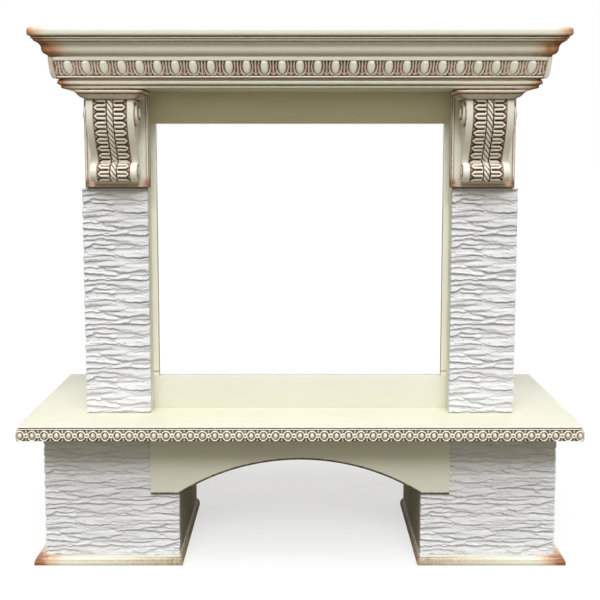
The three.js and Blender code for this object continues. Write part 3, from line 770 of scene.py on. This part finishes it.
def makeEggAndDart():
    band = {"low": 1077.5, "high": 1119.0, "reach": 51.0, "back": 30.25, "perCorner": 14, "stepsAcross": 34,
            "rows": 38, "patina": 30.0, "patinaShare": 0.4}
    half, front = cornice["half"], cornice["front"]
    pitch = (half + band["reach"]) / band["perCorner"]
    tall = band["high"] - band["low"]
    v = np.linspace(0, tall, band["rows"] + 1)
    floor = np.interp(v, [0, 3, 9, 22, 33, 41.5], [41.2, 41.6, 42.8, 44.7, 46.0, 46.2])
    crest = np.interp(v, [0, 9, 22, 32, 41.5], [43.5, 47.0, 52.0, 51.5, 51.0])

    def carve(along, endAt):
        u, level = np.meshgrid(along, v)
        lift, isEgg = eggRelief(u, level, pitch)
        # a plain leaf turns the corner
        toEnd = np.minimum(along, endAt - along)[None, :] * np.ones_like(lift)
        leaf = 4.6 * smoothStep(toEnd, 6.2, 4.6)
        lift = np.where(toEnd < 9.0, np.maximum(lift * smoothStep(toEnd, 8.0, 9.0), leaf), lift)
        isEgg = np.where(toEnd < 9.0, toEnd < 5.6, isEgg)
        reach = np.minimum(floor[:, None] + lift, crest[:, None] + 0.6)
        recess = np.clip(1 - lift / 3.0, 0, 1)
        recess = np.where(isEgg, recess * 0.8, np.maximum(recess, 0.38))
        return reach, recess

    def build(name, node, reach, recess, along, place, back):
        grid = place(along, reach, np.repeat(v[:, None], len(along), 1) + band["low"])
        points, faces = reliefSolid(grid, back)
        rub = np.tile(patinaAt(along - along[0], band["patina"]) * band["patinaShare"], len(v))
        addPiece(name, points, turnedOut(points, faces), "carved_antique_paint", [node],
                 recess=recess.ravel(), patina=rub)

    length = 2 * (half + band["reach"])
    along = np.linspace(0, length, 2 * band["perCorner"] * band["stepsAcross"] + 1)
    reach, recess = carve(along, length)

    def placeFront(along, reach, z):
        squeeze = (half + reach) / (half + band["reach"])
        x = (along - length / 2)[None, :] * squeeze
        ends = np.abs(along - length / 2)[None, :] > length / 2 - 0.01
        x = np.where(ends, np.sign(x) * (half + reach - mitreGap), x)
        return np.stack([x, front - reach, z], -1)

    def backFront(point):
        limit = half + band["back"] - mitreGap
        return (float(np.clip(point[0], -limit, limit)), front - band["back"], point[2])

    build("eggAndDartFront", "egg_and_dart_front", reach, recess, along, placeFront, backFront)
    sideLength = wallPlane - front + band["reach"]
    steps = int(sideLength / pitch * band["stepsAcross"])
    sideAlong = np.linspace(0, sideLength, steps + 1)
    sideReach, sideRecess = carve(sideAlong, 2 * length)
    for side, sign in sides.items():
        def placeSide(along, reach, z, sign=sign):
            squeeze = (sideLength - along[None, :]) / sideLength
            y = wallPlane - squeeze * (wallPlane - front + reach)
            y = y + np.where(along[None, :] == 0, mitreGap, 0)
            return np.stack([sign * (half + reach), y, z], -1)

        def backSide(point, sign=sign):
            return (sign * (half + band["back"]), max(point[1], front - band["back"] + mitreGap), point[2])

        build("eggAndDart" + side.capitalize(), f"egg_and_dart_{side}", sideReach, sideRecess, sideAlong,
              placeSide, backSide)
    print("egg and dart carved")


makeEggAndDart()


# bead trim


def beadRelief(u, v, pitch):
    # oval beads in rings, a pierced hub between each two rings, and a nosing along the top
    trim = {
        "level": 11.6,
        "beadWide": 4.7,
        "beadTall": 6.6,
        "beadRise": 5.9,
        "ringWide": 8.8,
        "ringTall": 10.0,
        "ringHalf": 1.4,
        "ringRise": 4.6,
        "hubRadius": 3.1,
        "hubHalf": 1.55,
        "hubRise": 4.2,
        "bandLow": 24.0,
        "bandHigh": 27.8,
    }
    u = (u + pitch / 2) % pitch - pitch / 2
    a = np.abs(u)
    w = v - trim["level"]
    share = (a / trim["beadWide"]) ** 2 + (w / trim["beadTall"]) ** 2
    bead = trim["beadRise"] * np.sqrt(np.clip(1 - share, 0, 1))
    radius = np.hypot(a / trim["ringWide"], w / trim["ringTall"])
    size = (trim["ringWide"] + trim["ringTall"]) / 2
    ring = roundRidge(np.abs(radius - 1) * size, trim["ringHalf"], trim["ringRise"])
    fromHub = np.hypot(pitch / 2 - a, w * 0.85)
    hub = roundRidge(np.abs(fromHub - trim["hubRadius"]), trim["hubHalf"], trim["hubRise"])
    petalLine = np.abs(w) - 9.6
    petal = np.clip(1 - ((pitch / 2 - a) / 1.7) ** 2 - (petalLine / 2.9) ** 2, 0, 1)
    petals = 3.6 * np.sqrt(petal)
    band = roundRidge(np.abs(v - (trim["bandLow"] + trim["bandHigh"]) / 2), 1.7, 3.6)
    nosing = smoothStep(v, 29.2, 30.2) * 5.2
    return np.maximum.reduce([bead, ring, hub, petals, band, nosing]), bead > 1.2


def makeBeadTrim():
    trim = {"half": 592.0, "front": -202.0, "overhang": 8.0, "low": 317.2, "tall": 33.4, "firstBead": 8.5,
            "frontCount": 47, "stepsAcross": 27, "rows": 34, "floor": 2.0, "gap": 0.2}
    full = trim["half"] + trim["overhang"]
    pitch = 2 * (full - trim["firstBead"]) / (trim["frontCount"] - 1)
    v = np.linspace(0, trim["tall"], trim["rows"] + 1)
    nose = np.interp(v, [0, 30.2, 31.4, 32.4, 33.0, 33.4], [0, 0, 0.4, 1.4, 2.8, 4.6])

    def carve(along, endAt):
        u, level = np.meshgrid(along - trim["firstBead"], v)
        lift, isBead = beadRelief(u, level, pitch)
        # the corner itself is filled out round
        toEnd = np.minimum(along, endAt - along)[None, :]
        corner = 6.0 * np.sqrt(np.clip(1 - ((level - 12.5) / 15.5) ** 2, 0, 1)) * smoothStep(toEnd, 4.2, 0.6)
        lift = np.maximum(lift, corner)
        reach = trim["floor"] + lift - nose[:, None]
        recess = 0.86 * np.clip(1 - lift / 2.9, 0, 1)
        # darker towards the bottom of the trim: painted shade
        recess = np.clip(recess + 0.3 * smoothStep(level, 8, 0), 0, 1)
        recess = np.where(isBead, 0.2, recess)
        recess = np.where(level > 30.0, 0, recess)
        return reach, recess

    def build(name, node, along, endAt, place, back):
        reach, recess = carve(along, endAt)
        grid = place(along, reach, np.repeat(v[:, None], len(along), 1) + trim["low"])
        points, faces = reliefSolid(grid, back)
        addPiece(name, points, turnedOut(points, faces), "carved_antique_paint", [node], "trim",
                 recess=recess.ravel())

    along = np.linspace(0, 2 * full, trim["frontCount"] * trim["stepsAcross"] + 1)

    def placeFront(along, reach, z):
        x = (along - full)[None, :] * np.ones_like(reach)
        # the last few millimetres close in to the mitre
        limit = trim["half"] + reach - trim["gap"]
        return np.stack([np.clip(x, -limit, limit), trim["front"] - reach, z], -1)

    def backFront(point):
        limit = trim["half"] - trim["gap"]
        return (float(np.clip(point[0], -limit, limit)), trim["front"] - 0.2, point[2])

    build("beadTrimFront", "bead_trim_front", along, 2 * full, placeFront, backFront)
    sideLength = wallPlane - trim["front"] + trim["overhang"]
    sideAlong = np.linspace(0, sideLength, int(sideLength / pitch * trim["stepsAcross"]) + 1)
    for side, sign in sides.items():
        def placeSide(along, reach, z, sign=sign):
            y = (trim["front"] - trim["overhang"] + along)[None, :] * np.ones_like(reach)
            y = np.maximum(y, trim["front"] - reach + trim["gap"])
            return np.stack([sign * (trim["half"] + reach), y, z], -1)

        def backSide(point, sign=sign):
            return (sign * (trim["half"] + 0.2), max(point[1], trim["front"] + trim["gap"]), point[2])

        build("beadTrim" + side.capitalize(), f"bead_trim_{side}", sideAlong, 2 * full, placeSide, backSide)
    print("bead trim carved")


makeBeadTrim()


# corbels

corbel = {
    "centre": 392.5,
    "half": 68.5,
    "face": -123.0,
    "back": -104.75,
    "bottom": 850.0,
    "top": 1034.0,
    "plateTop": 1056.75,
    "consoleHalf": 48.5,
    "consoleShift": 1.5,
    "fillet": 13.2,
    "rope": 6.7,
    "root": 2.0,
}


def consoleLine():
    # front line of the console from its top to the foot of its roll: reach from the plate, height
    knots = [(56, 1034), (59, 1009), (56, 984), (46, 959), (31, 934), (19, 915), (12.5, 903)]
    knots = np.array(knots, float)
    padded = np.vstack([2 * knots[0] - knots[1], knots, 2 * knots[-1] - knots[-2]])
    line = []
    for i in range(1, len(padded) - 2):
        a, b, c, d = padded[i - 1 : i + 3]
        for share in np.linspace(0, 1, 24, endpoint=False):
            line.append(0.5 * (2 * b + (c - a) * share + (2 * a - 5 * b + 4 * c - d) * share**2
                               + (3 * b - a - 3 * c + d) * share**3))
    roll = np.radians(np.linspace(92, -96, 72))
    line += [(16 + 20 * math.cos(t), 882.5 + 20 * math.sin(t)) for t in roll]
    line = np.array(line)
    lengths = np.concatenate([[0], np.cumsum(np.hypot(*np.diff(line, axis=0).T))])
    even = np.linspace(0, lengths[-1], 220)
    return np.column_stack([np.interp(even, lengths, line[:, i]) for i in (0, 1)]), even


def leafRelief(across, along, pitch, width):
    # pointed leaves side by side: grooves between them leave rounded lobes
    t = (along / pitch + 0.5) % 1 - 0.5
    y = t * pitch
    w = across
    reachGap = pitch / 2
    # each groove: its line across and along, and its half width
    grooves = [
        ([(0.04 * width, 0.0), (0.68 * width, 0.0)], 0.75),
        ([(0.17 * width, reachGap), (0.58 * width, reachGap)], 1.45),
        ([(0.58 * width, reachGap), (0.67 * width, 0.475 * pitch), (0.75 * width, 0.41 * pitch)], 1.1),
        ([(0.75 * width, 0.41 * pitch), (0.83 * width, 0.31 * pitch), (0.89 * width, 0.2 * pitch)], 1.0),
        ([(0.89 * width, 0.2 * pitch), (0.94 * width, 0.1 * pitch), (0.98 * width, 0.05 * pitch)], 0.8),
    ]
    nearest = np.full(np.shape(w), 1e9)
    for line, half in grooves:
        for flip in (1, -1):
            shaped = [(x, flip * h) for x, h in line]
            nearest = np.minimum(nearest, distanceToLine(w, y, shaped) - half)
    nearest = np.minimum(nearest, np.hypot(w, y) - 2.3)
    nearest = np.minimum(nearest, np.abs(w) - 0.9)
    nearest = np.minimum(nearest, np.abs(w - width - 0.4) - 0.9)
    share = np.clip(nearest / 2.3, 0, 1)
    height = np.sqrt(np.clip(1 - (1 - share) ** 2, 0, 1))
    shade = np.clip(1 - nearest / 1.6, 0, 1)
    valley = distanceToLine(w, np.abs(y), [(0.17 * width, reachGap), (0.55 * width, reachGap)])
    deep = np.clip(1 - valley / 2.4, 0, 1)
    # the small fillers between the leaf tips stay low and stained
    outer = 0.41 * pitch - (w - 0.75 * width) * (0.36 * pitch) / (0.23 * width)
    filler = (w > 0.72 * width) & (np.abs(y) > outer)
    shade = np.where(filler, np.maximum(shade, 0.62), shade)
    height = np.where(filler, 0.55 * height, height)
    return height, shade, deep


def makeCorbels():
    line, travel = consoleLine()
    tangent = np.gradient(line, axis=0)
    tangent /= np.linalg.norm(tangent, axis=1)[:, None]
    normal = np.column_stack([-tangent[:, 1], tangent[:, 0]])
    half = corbel["consoleHalf"]
    leafEdge = half - corbel["fillet"]
    leafWidth = leafEdge - corbel["rope"]
    across = np.concatenate([np.linspace(-half, -leafEdge - 0.5, 8, endpoint=False),
                             np.linspace(-leafEdge - 0.5, leafEdge + 0.5, 98),
                             np.linspace(leafEdge + 0.5, half, 9)[1:]])
    leafPitch = 18.2
    ropePitch = 12.7
    u, s = np.meshgrid(across, travel)
    inLeaf = np.abs(u) < leafEdge + 0.3
    height, shade, deep = leafRelief(np.abs(u) - corbel["rope"], s - 16.5, leafPitch, leafWidth)
    leaf = -3.4 + 5.0 * height - 1.6 * deep
    ropeShare = np.clip(1 - (u / corbel["rope"]) ** 2, 0, 1)
    twist = ((s - 1.4 * u) / ropePitch) % 1
    fromMiddle = np.abs(2 * twist - 1)
    strand = np.sqrt(np.clip(1 - (fromMiddle / 0.93) ** 3, 0, 1))
    ropeHeight = -2.6 + (0.8 + 4.4 * strand) * np.sqrt(ropeShare)
    isRope = np.abs(u) < corbel["rope"]
    relief = np.where(isRope, ropeHeight, leaf)
    relief = np.where(inLeaf, relief, 0.8 * smoothStep(half - np.abs(u), 0.0, 2.5))
    ends = smoothStep(travel, 0.0, 1.5)[:, None] * smoothStep(travel[-1] - travel, 0.0, 6.0)[:, None]
    relief = relief * ends
    ropeEdge = smoothStep(np.abs(u) / corbel["rope"], 0.72, 1.0)
    ropeShade = np.maximum(smoothStep(fromMiddle, 0.6, 0.86), 0.9 * ropeEdge)
    recess = np.where(isRope, ropeShade, shade + 0.7 * deep)
    recess = np.where(inLeaf, recess, 0.0)
    recess = np.clip(recess, 0, 1)
    # cheeks: columns from the plate forward to the edge of the carved front
    cheekSteps = np.linspace(0, 1, 37)[:-1]
    reach = line[:, :1] + normal[:, :1] * relief
    z = line[:, 1:] + normal[:, 1:] * relief
    front = np.stack([np.broadcast_to(across, reach.shape), -reach, z], -1)
    d = -corbel["root"] + (line[:, :1] + corbel["root"]) * cheekSteps[None, :]
    z = np.repeat(line[:, 1:], len(cheekSteps), 1)
    bulge, cheekDark = cheekRelief(d, z, line)
    left = np.stack([-half - bulge, -d, z], -1)
    right = np.stack([half + bulge, -d, z], -1)[:, ::-1]
    grid = np.concatenate([left, front, right], 1)
    dark = np.concatenate([cheekDark, recess, cheekDark[:, ::-1]], 1)
    consolePoints = grid.reshape(-1, 3)
    consoleFaces = turnedOut(consolePoints, loopFaces(*grid.shape[:2]))
    platePoints, plateFaces, plateDark, plateRub = plateMesh()
    for side, sign in sides.items():
        shift = np.array([sign * (corbel["centre"] + corbel["consoleShift"]), corbel["face"], 0])
        points = np.concatenate([platePoints + (sign * corbel["centre"], 0, 0), consolePoints + shift])
        start = len(platePoints)
        faces = plateFaces + [[start + i for i in face] for face in consoleFaces]
        foot = np.clip(1 - (consolePoints[:, 2] - corbel["bottom"]) / 26, 0, 1) * 0.25
        addPiece("corbel" + side.capitalize(), points, faces, "carved_antique_paint", [f"corbel_{side}"],
                 recess=np.concatenate([plateDark, dark.ravel()]), patina=np.concatenate([plateRub, foot]))
    print("corbels carved")


def cheekRelief(d, z, line):
    # how far the cheek stands out from the console's side, and where its glaze lies
    volutes = [
        {"place": (34.0, 1004.0), "radius": 23.0, "rise": 12.0, "turns": 1.7},
        {"place": (16.0, 882.5), "radius": 15.0, "rise": 3.2, "turns": 1.3},
    ]
    out = np.zeros_like(d)
    dark = np.zeros_like(d)
    toEdge = np.full(d.shape, 1e9)
    for x, y in line[::3]:
        toEdge = np.minimum(toEdge, np.hypot(d - x, z - y))
    rim = smoothStep(toEdge, 0.0, 1.0) * (1 - smoothStep(toEdge, 4.6, 5.8))
    out += 1.3 * rim
    innerLine = np.exp(-((toEdge - 6.2) / 0.8) ** 2)
    outerLine = np.exp(-((toEdge - 9.4) / 0.8) ** 2)
    out += -0.7 * innerLine - 0.6 * outerLine
    dark = np.maximum(dark, innerLine)
    dark = np.maximum(dark, 0.8 * outerLine)
    for volute in volutes:
        dx = d - volute["place"][0]
        dz = z - volute["place"][1]
        r = np.hypot(dx, dz)
        radius = volute["radius"]
        share = np.clip(1 - (r / radius) ** 2, 0, 1)
        dome = volute["rise"] * share**0.55
        angle = np.arctan2(dz, dx) / (2 * math.pi)
        spiral = (r / radius * volute["turns"] - angle) % 1
        nearSpiral = np.minimum(spiral, 1 - spiral)
        cut = np.exp(-(nearSpiral / 0.2) ** 2) * (r < radius * 0.97) * (r > radius * 0.16)
        out = np.maximum(out, dome) - 2.2 * cut * share**0.3
        dark = np.where(r < radius, np.clip(cut, 0, 1), dark)
        ring = np.exp(-((r - radius - 0.6) / 1.6) ** 2)
        dark = np.maximum(dark, ring)
    bud = np.clip(1 - ((d - 31) / 3.6) ** 2 - ((z - 972) / 8.5) ** 2, 0, 1)
    out = out + 3.2 * np.sqrt(bud)
    around = np.exp(-((np.sqrt(((d - 31) / 3.6) ** 2 + ((z - 972) / 8.5) ** 2) - 1.2) / 0.22) ** 2)
    dark = np.maximum(dark, 0.8 * around)
    keep = smoothStep(toEdge, 0.0, 0.9)
    return out * keep, np.clip(dark * keep, 0, 1)


def plateMesh():
    # the backplate: a rim at both sides and the foot, an ogee slope and a flat field
    half, bottom, top = corbel["half"], corbel["bottom"], corbel["plateTop"]
    face, back = corbel["face"], corbel["back"]
    # inset, place in depth, recess
    # the sides are darkened towards the back: painted shade in the gap against the board behind
    rings = [(0.0, back, 1.0), (0.0, back - 3.0, 0.8), (0.0, back - 8.0, 0.12), (0.0, face - 0.2, 0.15),
             (0.0, face - 1.4, 0.9), (0.4, face - 2.4, 1.0), (1.4, face - 3.0, 0.45),
             (2.2, face - 3.0, 0.0), (4.0, face - 2.8, 0.0), (4.8, face - 1.8, 0.5), (5.4, face - 0.9, 0.75),
             (6.4, face - 0.2, 0.4), (8.5, face, 0.1), (14.0, face, 0.0)]
    rise = np.array([0, 3, 7, 12, 18, 26, 40, 70, 120.0, 175.0])
    steps = (3, 7, 12, 18, 26)
    points = []
    dark = []
    for inset, y, shade in rings:
        loop = []
        for h in rise[::-1]:
            loop.append((-half + inset, y, bottom + max(h, inset) if h < rise[-1] else top))
        run = [-half + inset + s for s in steps] + [half - inset - s for s in steps[::-1]]
        loop += [(x, y, bottom + inset) for x in run]
        for h in rise:
            loop.append((half - inset, y, bottom + max(h, inset) if h < rise[-1] else top))
        points += loop
        dark += [shade] * len(loop)
    points = np.array(points)
    corner = np.hypot(half - np.abs(points[:, 0]), (points[:, 2] - bottom) * 0.85)
    rub = 1.2 * np.clip(1 - corner / 27, 0, 1) ** 1.1
    rub = np.clip(np.maximum(rub, 0.62 * np.clip(1 - (points[:, 2] - bottom) / 8, 0, 1)), 0, 1)
    at = gridIndex(len(rings), len(points) // len(rings))
    faces = gridFaces(at) + [at[-1].tolist(), at[0, ::-1].tolist()]
    faces += quadRun(at[:-1, 0], at[1:, 0], at[1:, -1], at[:-1, -1])
    return points, turnedOut(points, faces), np.array(dark), rub


makeCorbels()


def makeCorbelCaps():
    cap = {"half": 50.0, "front": -180.0, "back": -123.25, "patina": 24.0, "patinaTop": 1052.0}
    middle = (cap["front"] + cap["back"]) / 2
    profile = [(0, 1034.25, 1.0), (1.2, 1034.3, 0.9), (2.6, 1035.2, 0.35), (3.4, 1036.2, 0.1)]
    profile += shadedBend((3.4, 1036.2), (10.5, 1037.4), (14.8, 1043.6),
                          [0.08, 0.1, 0.14, 0.2, 0.26, 0.34, 0.44])
    profile += [(15.3, 1044.4, 0.6), (15.6, 1045.4, 1.0), (16.8, 1046.2, 0.8), (18.0, 1047.0, 0.3)]
    # the upper torus, the top fillet and the ledge behind it are darkened: glaze, and painted shade under
    # the bed moulding
    profile += shadedBend((18.0, 1047.0), (20.4, 1048.2), (20.0, 1051.0), [0.24] * 5)
    profile += [(19.2, 1051.8, 0.3), (16.0, 1052.2, 0.5), (-4.0, 1052.6, 0.5)]
    profile += [(-6.0, 1053.2, 0.9), (-6.0, 1056.75, 0.9)]
    for side, sign in sides.items():
        x0 = sign * corbel["centre"] - cap["half"]
        x1 = sign * corbel["centre"] + cap["half"]
        stops = (0.0, 4.0, 10.0, 18.0, 30.0)
        points = []
        dark = []
        rub = []
        for p, z, d in profile:
            loop = [(x0 - p, cap["back"], z), (x0 - p, middle, z)]
            loop += [(x0 - p + s, cap["front"] - p, z) for s in stops]
            loop += [(x1 + p - s, cap["front"] - p, z) for s in stops[::-1]]
            loop += [(x1 + p, middle, z), (x1 + p, cap["back"], z)]
            points += loop
            dark += [d] * len(loop)
            fade = [0.1, 0.3] + [float(patinaAt(s, cap["patina"])) for s in stops]
            rub += [0.62 * f * (z < cap["patinaTop"]) for f in fade + fade[::-1]]
        faces = turnedOut(points, loopFaces(len(profile), len(points) // len(profile)))
        addPiece("corbelCap" + side.capitalize(), points, faces, "carved_antique_paint",
                 [f"corbel_cap_{side}"], sharp=38, recess=dark, patina=rub)
    print("corbel caps made")


makeCorbelCaps()


# plinth boards


def makePlinths():
    plinth = {"inner": 264.0, "outer": 597.0, "front": -114.0, "patina": 84.0}
    profile = [(-0.6, 0.0, 0.2), (0.0, 0.8, 0.1), (0.0, 8.6, 0.0), (-0.5, 9.6, 0.35), (-1.6, 10.0, 0.5)]
    profile += shadedBend((-1.6, 10.0), (-1.8, 15.4), (-5.4, 16.6), [0.0] * 6)
    profile += [(-6.2, 17.0, 0.0), (-9.0, 17.0, 0.0), (-30.0, 17.0, 0.0)]
    for side, sign in sides.items():
        points = []
        dark = []
        rub = []
        stops = (0.0, 4.0, 9.0, 16.0, 26.0, 40.0, 60.0, 80.0)
        for p, z, d in profile:
            inner = plinth["inner"] - p
            outer = plinth["outer"] + p
            front = plinth["front"] - p
            loop = [(sign * inner, wallPlane, z), (sign * inner, front, z)]
            fade = [0.0, 0.0]
            for s in stops[::-1]:
                loop.append((sign * (outer - s), front, z))
                fade.append(float(patinaAt(s, plinth["patina"])))
            for s in stops[1:]:
                loop.append((sign * outer, front + s, z))
                fade.append(float(patinaAt(s, plinth["patina"])))
            loop.append((sign * outer, wallPlane, z))
            fade.append(0.0)
            points += loop
            # the inner side is painted dark towards the wall, as painted shade, but not the hidden top
            onSide = z > 0.0 and p > -7.0
            dark += [1.0 if onSide else d, 0.6 if onSide else d] + [d] * (len(loop) - 2)
            rub += [f * (p > -10) for f in fade]
        faces = turnedOut(points, loopFaces(len(profile), len(points) // len(profile)))
        addPiece("plinthBoard" + side.capitalize(), points, faces, "moulded_ivory_paint",
                 [f"plinth_board_{side}"], sharp=38, recess=dark, patina=rub)
    print("plinth boards made")


makePlinths()


# split stone

stone = {
    "tileWide": 360,
    "tileTall": 98,
    "shards": 150,
    "shardLong": (18, 76),
    "shardThick": (2.0, 5.4),
    "depth": 13.0,
    "least": 5.4,
    "frontStep": 1.5,
    "sideStep": 2.4,
    "gap": 0.25,  # from the board behind
    "rightShift": 41.0,
}


def blurred(field, passes):
    for _ in range(passes):
        up = np.roll(field, 1, 0)
        down = np.roll(field, -1, 0)
        field = 0.25 * (up + down) + 0.5 * field
        padded = np.pad(field, ((0, 0), (1, 1)), "edge")
        field = 0.25 * (padded[:, 2:] + padded[:, :-2]) + 0.5 * field
    return field


def makeStoneTile(seed):
    # one cast tile, its top and bottom matching: overlapping shards, each with a sharp lower lip
    wide, tall = stone["tileWide"], stone["tileTall"]
    dice = np.random.default_rng(seed)
    x, z = np.meshgrid(np.arange(wide, dtype=float), np.arange(tall, dtype=float))
    field = 0.12 + 0.12 * cloudNoise(x / 40, z / 9, seed)
    for index in range(stone["shards"]):
        centreX = dice.uniform(-30, wide + 30)
        centreZ = dice.uniform(0, tall)
        long = dice.uniform(*stone["shardLong"])
        thick = dice.uniform(*stone["shardThick"])
        tilt = math.radians(dice.normal(0, 3.8))
        level = dice.uniform(0.42, 1.0)
        dx = x - centreX
        dz = (z - centreZ + tall / 2) % tall - tall / 2
        along = (dx * math.cos(tilt) + dz * math.sin(tilt)) / long
        up = dz * math.cos(tilt) - dx * math.sin(tilt)
        body = np.sqrt(np.clip(1 - np.abs(along) ** 2.4, 0, 1))
        wobbleLow = 4.2 * (valueNoise(dx / 15 + 50, np.zeros_like(dx) + index, seed + 5) - 0.5)
        wobbleLow += 2.0 * (valueNoise(dx / 5 + 50, np.zeros_like(dx) + index, seed + 6) - 0.5)
        wobbleHigh = 3.4 * (valueNoise(dx / 20 + 50, np.zeros_like(dx) + index, seed + 7) - 0.5)
        low = -thick * body + wobbleLow
        high = thick * body + wobbleHigh
        share = (up - low) / np.maximum(high - low, 0.5)
        inside = (share > 0) & (share < 1) & (np.abs(along) < 1) & (high - low > 0.8)
        top = level - 0.40 * np.clip(share, 0, 1) ** 1.5 - 0.14 * np.abs(along) ** 3
        field = np.where(inside, np.maximum(field, top), field)
    field += 0.10 * (cloudNoise(x / 9, z / 3.2, seed + 21) - 0.5)
    field += 0.06 * (cloudNoise(x / 3.4, z / 1.8, seed + 31) - 0.5)
    # how far each point sits below its blurred surroundings: the creases, painted grey later as painted
    # shade
    creaseShade = np.clip((blurred(field, 5) - field) * 6.0, 0, 1)
    return field, creaseShade


def sampleTile(tile, across, up):
    # reads the tile between its points; it repeats upwards and is mirrored sideways
    tall, wide = tile.shape
    across = np.abs((across + wide - 1) % (2 * wide - 2) - (wide - 1))
    x0 = np.clip(np.floor(across).astype(int), 0, wide - 2)
    z0 = np.floor(up).astype(int)
    fx = across - x0
    fz = up - z0
    a = tile[z0 % tall, x0]
    b = tile[z0 % tall, x0 + 1]
    c = tile[(z0 + 1) % tall, x0]
    d = tile[(z0 + 1) % tall, x0 + 1]
    return (a * (1 - fx) + b * fx) * (1 - fz) + (c * (1 - fx) + d * fx) * fz


tile, tileCreaseShade = makeStoneTile(11)


def stoneHeight(across, up, shiftAcross, shiftUp):
    height = sampleTile(tile, across + shiftAcross, up + shiftUp)
    creaseShade = sampleTile(tileCreaseShade, across + shiftAcross, up + shiftUp)
    out = stone["least"] + (stone["depth"] - stone["least"]) * np.clip(height, 0, 1)
    return out, creaseShade


def stoneGrid(wide, tall, step):
    columns = int(round(wide / step)) + 1
    rows = int(round(tall / step)) + 1
    return np.meshgrid(np.linspace(0, wide, columns), np.linspace(0, tall, rows))


def makeStonePair(kind, inner, outer, boardFront, low, high, shift, notch=None):
    # the front slab and the outer side slab of a pillar or a pedestal, meeting at a rough corner
    gap = stone["gap"]
    boardOuter = outer - stone["depth"]
    frontWide = outer - inner
    for side, sign in sides.items():
        u, v = stoneGrid(frontWide, high - low, stone["frontStep"])
        out, creaseShade = stoneHeight(u if sign > 0 else frontWide - u, v, shift[0], shift[1])
        # the whole side is read inside one tile's width, so no mirror line falls on it
        sideShift = (shift[0], shift[1] + (stone["rightShift"] if sign > 0 else 0.0))
        corner = stoneHeight(np.full(len(v), 4.0), v[:, -1], *sideShift)[0]
        corner = corner.mean() + 1.2 + 0.32 * (corner - corner.mean())
        reachX = boardOuter + gap + corner
        x = inner + u * ((reachX[:, None] - inner) / frontWide)
        nearCorner = np.clip(1 - (frontWide - u) / 3.0, 0, 1)
        out = out - 2.2 * nearCorner**2
        front = np.stack([sign * x, boardFront - gap - out, low + v], -1)
        grids, creaseShades = cutNotch(front, creaseShade, sign, notch) if notch else ([front], [creaseShade])
        allPoints = []
        allFaces = []
        allDark = []
        for grid, dark in zip(grids, creaseShades):
            points, faces = reliefSolid(grid, lambda p: (p[0], boardFront - gap, p[2]))
            start = sum(len(p) for p in allPoints)
            allPoints.append(points)
            allFaces += [[start + i for i in face] for face in turnedOut(points, faces)]
            allDark.append(np.concatenate([dark.ravel(), np.zeros(len(points) - dark.size)]))
        addPiece(f"{kind}FrontStone" + side.capitalize(), np.concatenate(allPoints), allFaces, "split_stone",
                 [f"{kind}_front_stone_{side}"], recess=np.concatenate(allDark))
        u, v = stoneGrid(wallPlane - boardFront, high - low, stone["sideStep"])
        out, creaseShade = stoneHeight(u, v, *sideShift)
        # calmer towards the front corner, where the two slabs meet
        calm = 1 - 0.68 * smoothStep(u, 26.0, 0.0)
        out = out[:, :1].mean() + (out - out[:, :1].mean()) * calm + 0.9 * smoothStep(u, 20.0, 0.0)
        out = np.minimum(out, stone["depth"] - gap)
        grid = np.stack([sign * (boardOuter + gap + out), boardFront + u, low + v], -1)
        points, faces = reliefSolid(grid, lambda p, s=sign: (s * (boardOuter + gap), p[1], p[2]))
        addPiece(f"{kind}SideStone" + side.capitalize(), points, turnedOut(points, faces), "split_stone",
                 [f"{kind}_side_stone_{side}"], recess=creaseShade.ravel())


def cutNotch(front, creaseShade, sign, notch):
    # the slab is parted into a full-width lower part and the part beside the apron
    half, bottom = notch
    z = front[:, 0, 2]
    split = int(np.argmin(np.abs(z - bottom)))
    lower = front[: split + 1].copy()
    lower[-1, :, 2] = bottom
    x = np.abs(front[0, :, 0])
    beside = int(np.argmin(np.abs(x - half)))
    upper = front[split:, beside:].copy()
    upper[0, :, 2] = bottom
    upper[:, 0, 0] = sign * half
    return [lower, upper], [creaseShade[: split + 1], creaseShade[split:, beside:]]


makeStonePair("pillar", 329.0, 474.0, -105.0, 351.0, 848.0, (20.0, 30.0))
makeStonePair("pedestal", 272.0, 577.0, -86.0, 17.0, 318.0, (20.0, 12.0), notch=(335.25, 159.75))
print("split stone cast")


# floor


def makeFloor():
    floor = {"size": 60.0, "level": -0.0005, "colour": (0.97, 0.97, 0.965), "bounce": (0.18, 0.16, 0.115),
             "lift": 0.62}
    size = floor["size"]
    mesh = bpy.data.meshes.new("studioFloor")
    corners = [(size * x, size * y, floor["level"]) for x, y in ((-1, -1), (1, -1), (1, 1), (-1, 1))]
    mesh.from_pydata(corners, [], [[0, 1, 2, 3]])
    ground = bpy.data.objects.new("studioFloor", mesh)
    bpy.context.scene.collection.objects.link(ground)
    desk = NodeDesk("paleFloor")
    # seen as a pale sheet, but it throws little light back up under the mouldings
    seen = desk.tree.nodes.new("ShaderNodeLightPath").outputs["Is Camera Ray"]
    desk.put(desk.paint.inputs["Base Color"], desk.blend(seen, floor["bounce"], floor["colour"]))
    # part of the sheet's own light softens the shadows, as on a light table
    light = desk.tree.nodes.new("ShaderNodeEmission")
    join = desk.tree.nodes.new("ShaderNodeMixShader")
    desk.put(join.inputs[0], desk.sum("MULTIPLY", seen, floor["lift"]))
    desk.link(desk.paint.outputs["BSDF"], join.inputs[1])
    desk.link(light.outputs[0], join.inputs[2])
    desk.link(join.outputs[0], desk.out.inputs["Surface"])
    desk.put(desk.paint.inputs["Roughness"], 0.9)
    desk.put(desk.paint.inputs["Specular IOR Level"], 0.1)
    mesh.materials.append(desk.material)


makeFloor()

print("scene ready")
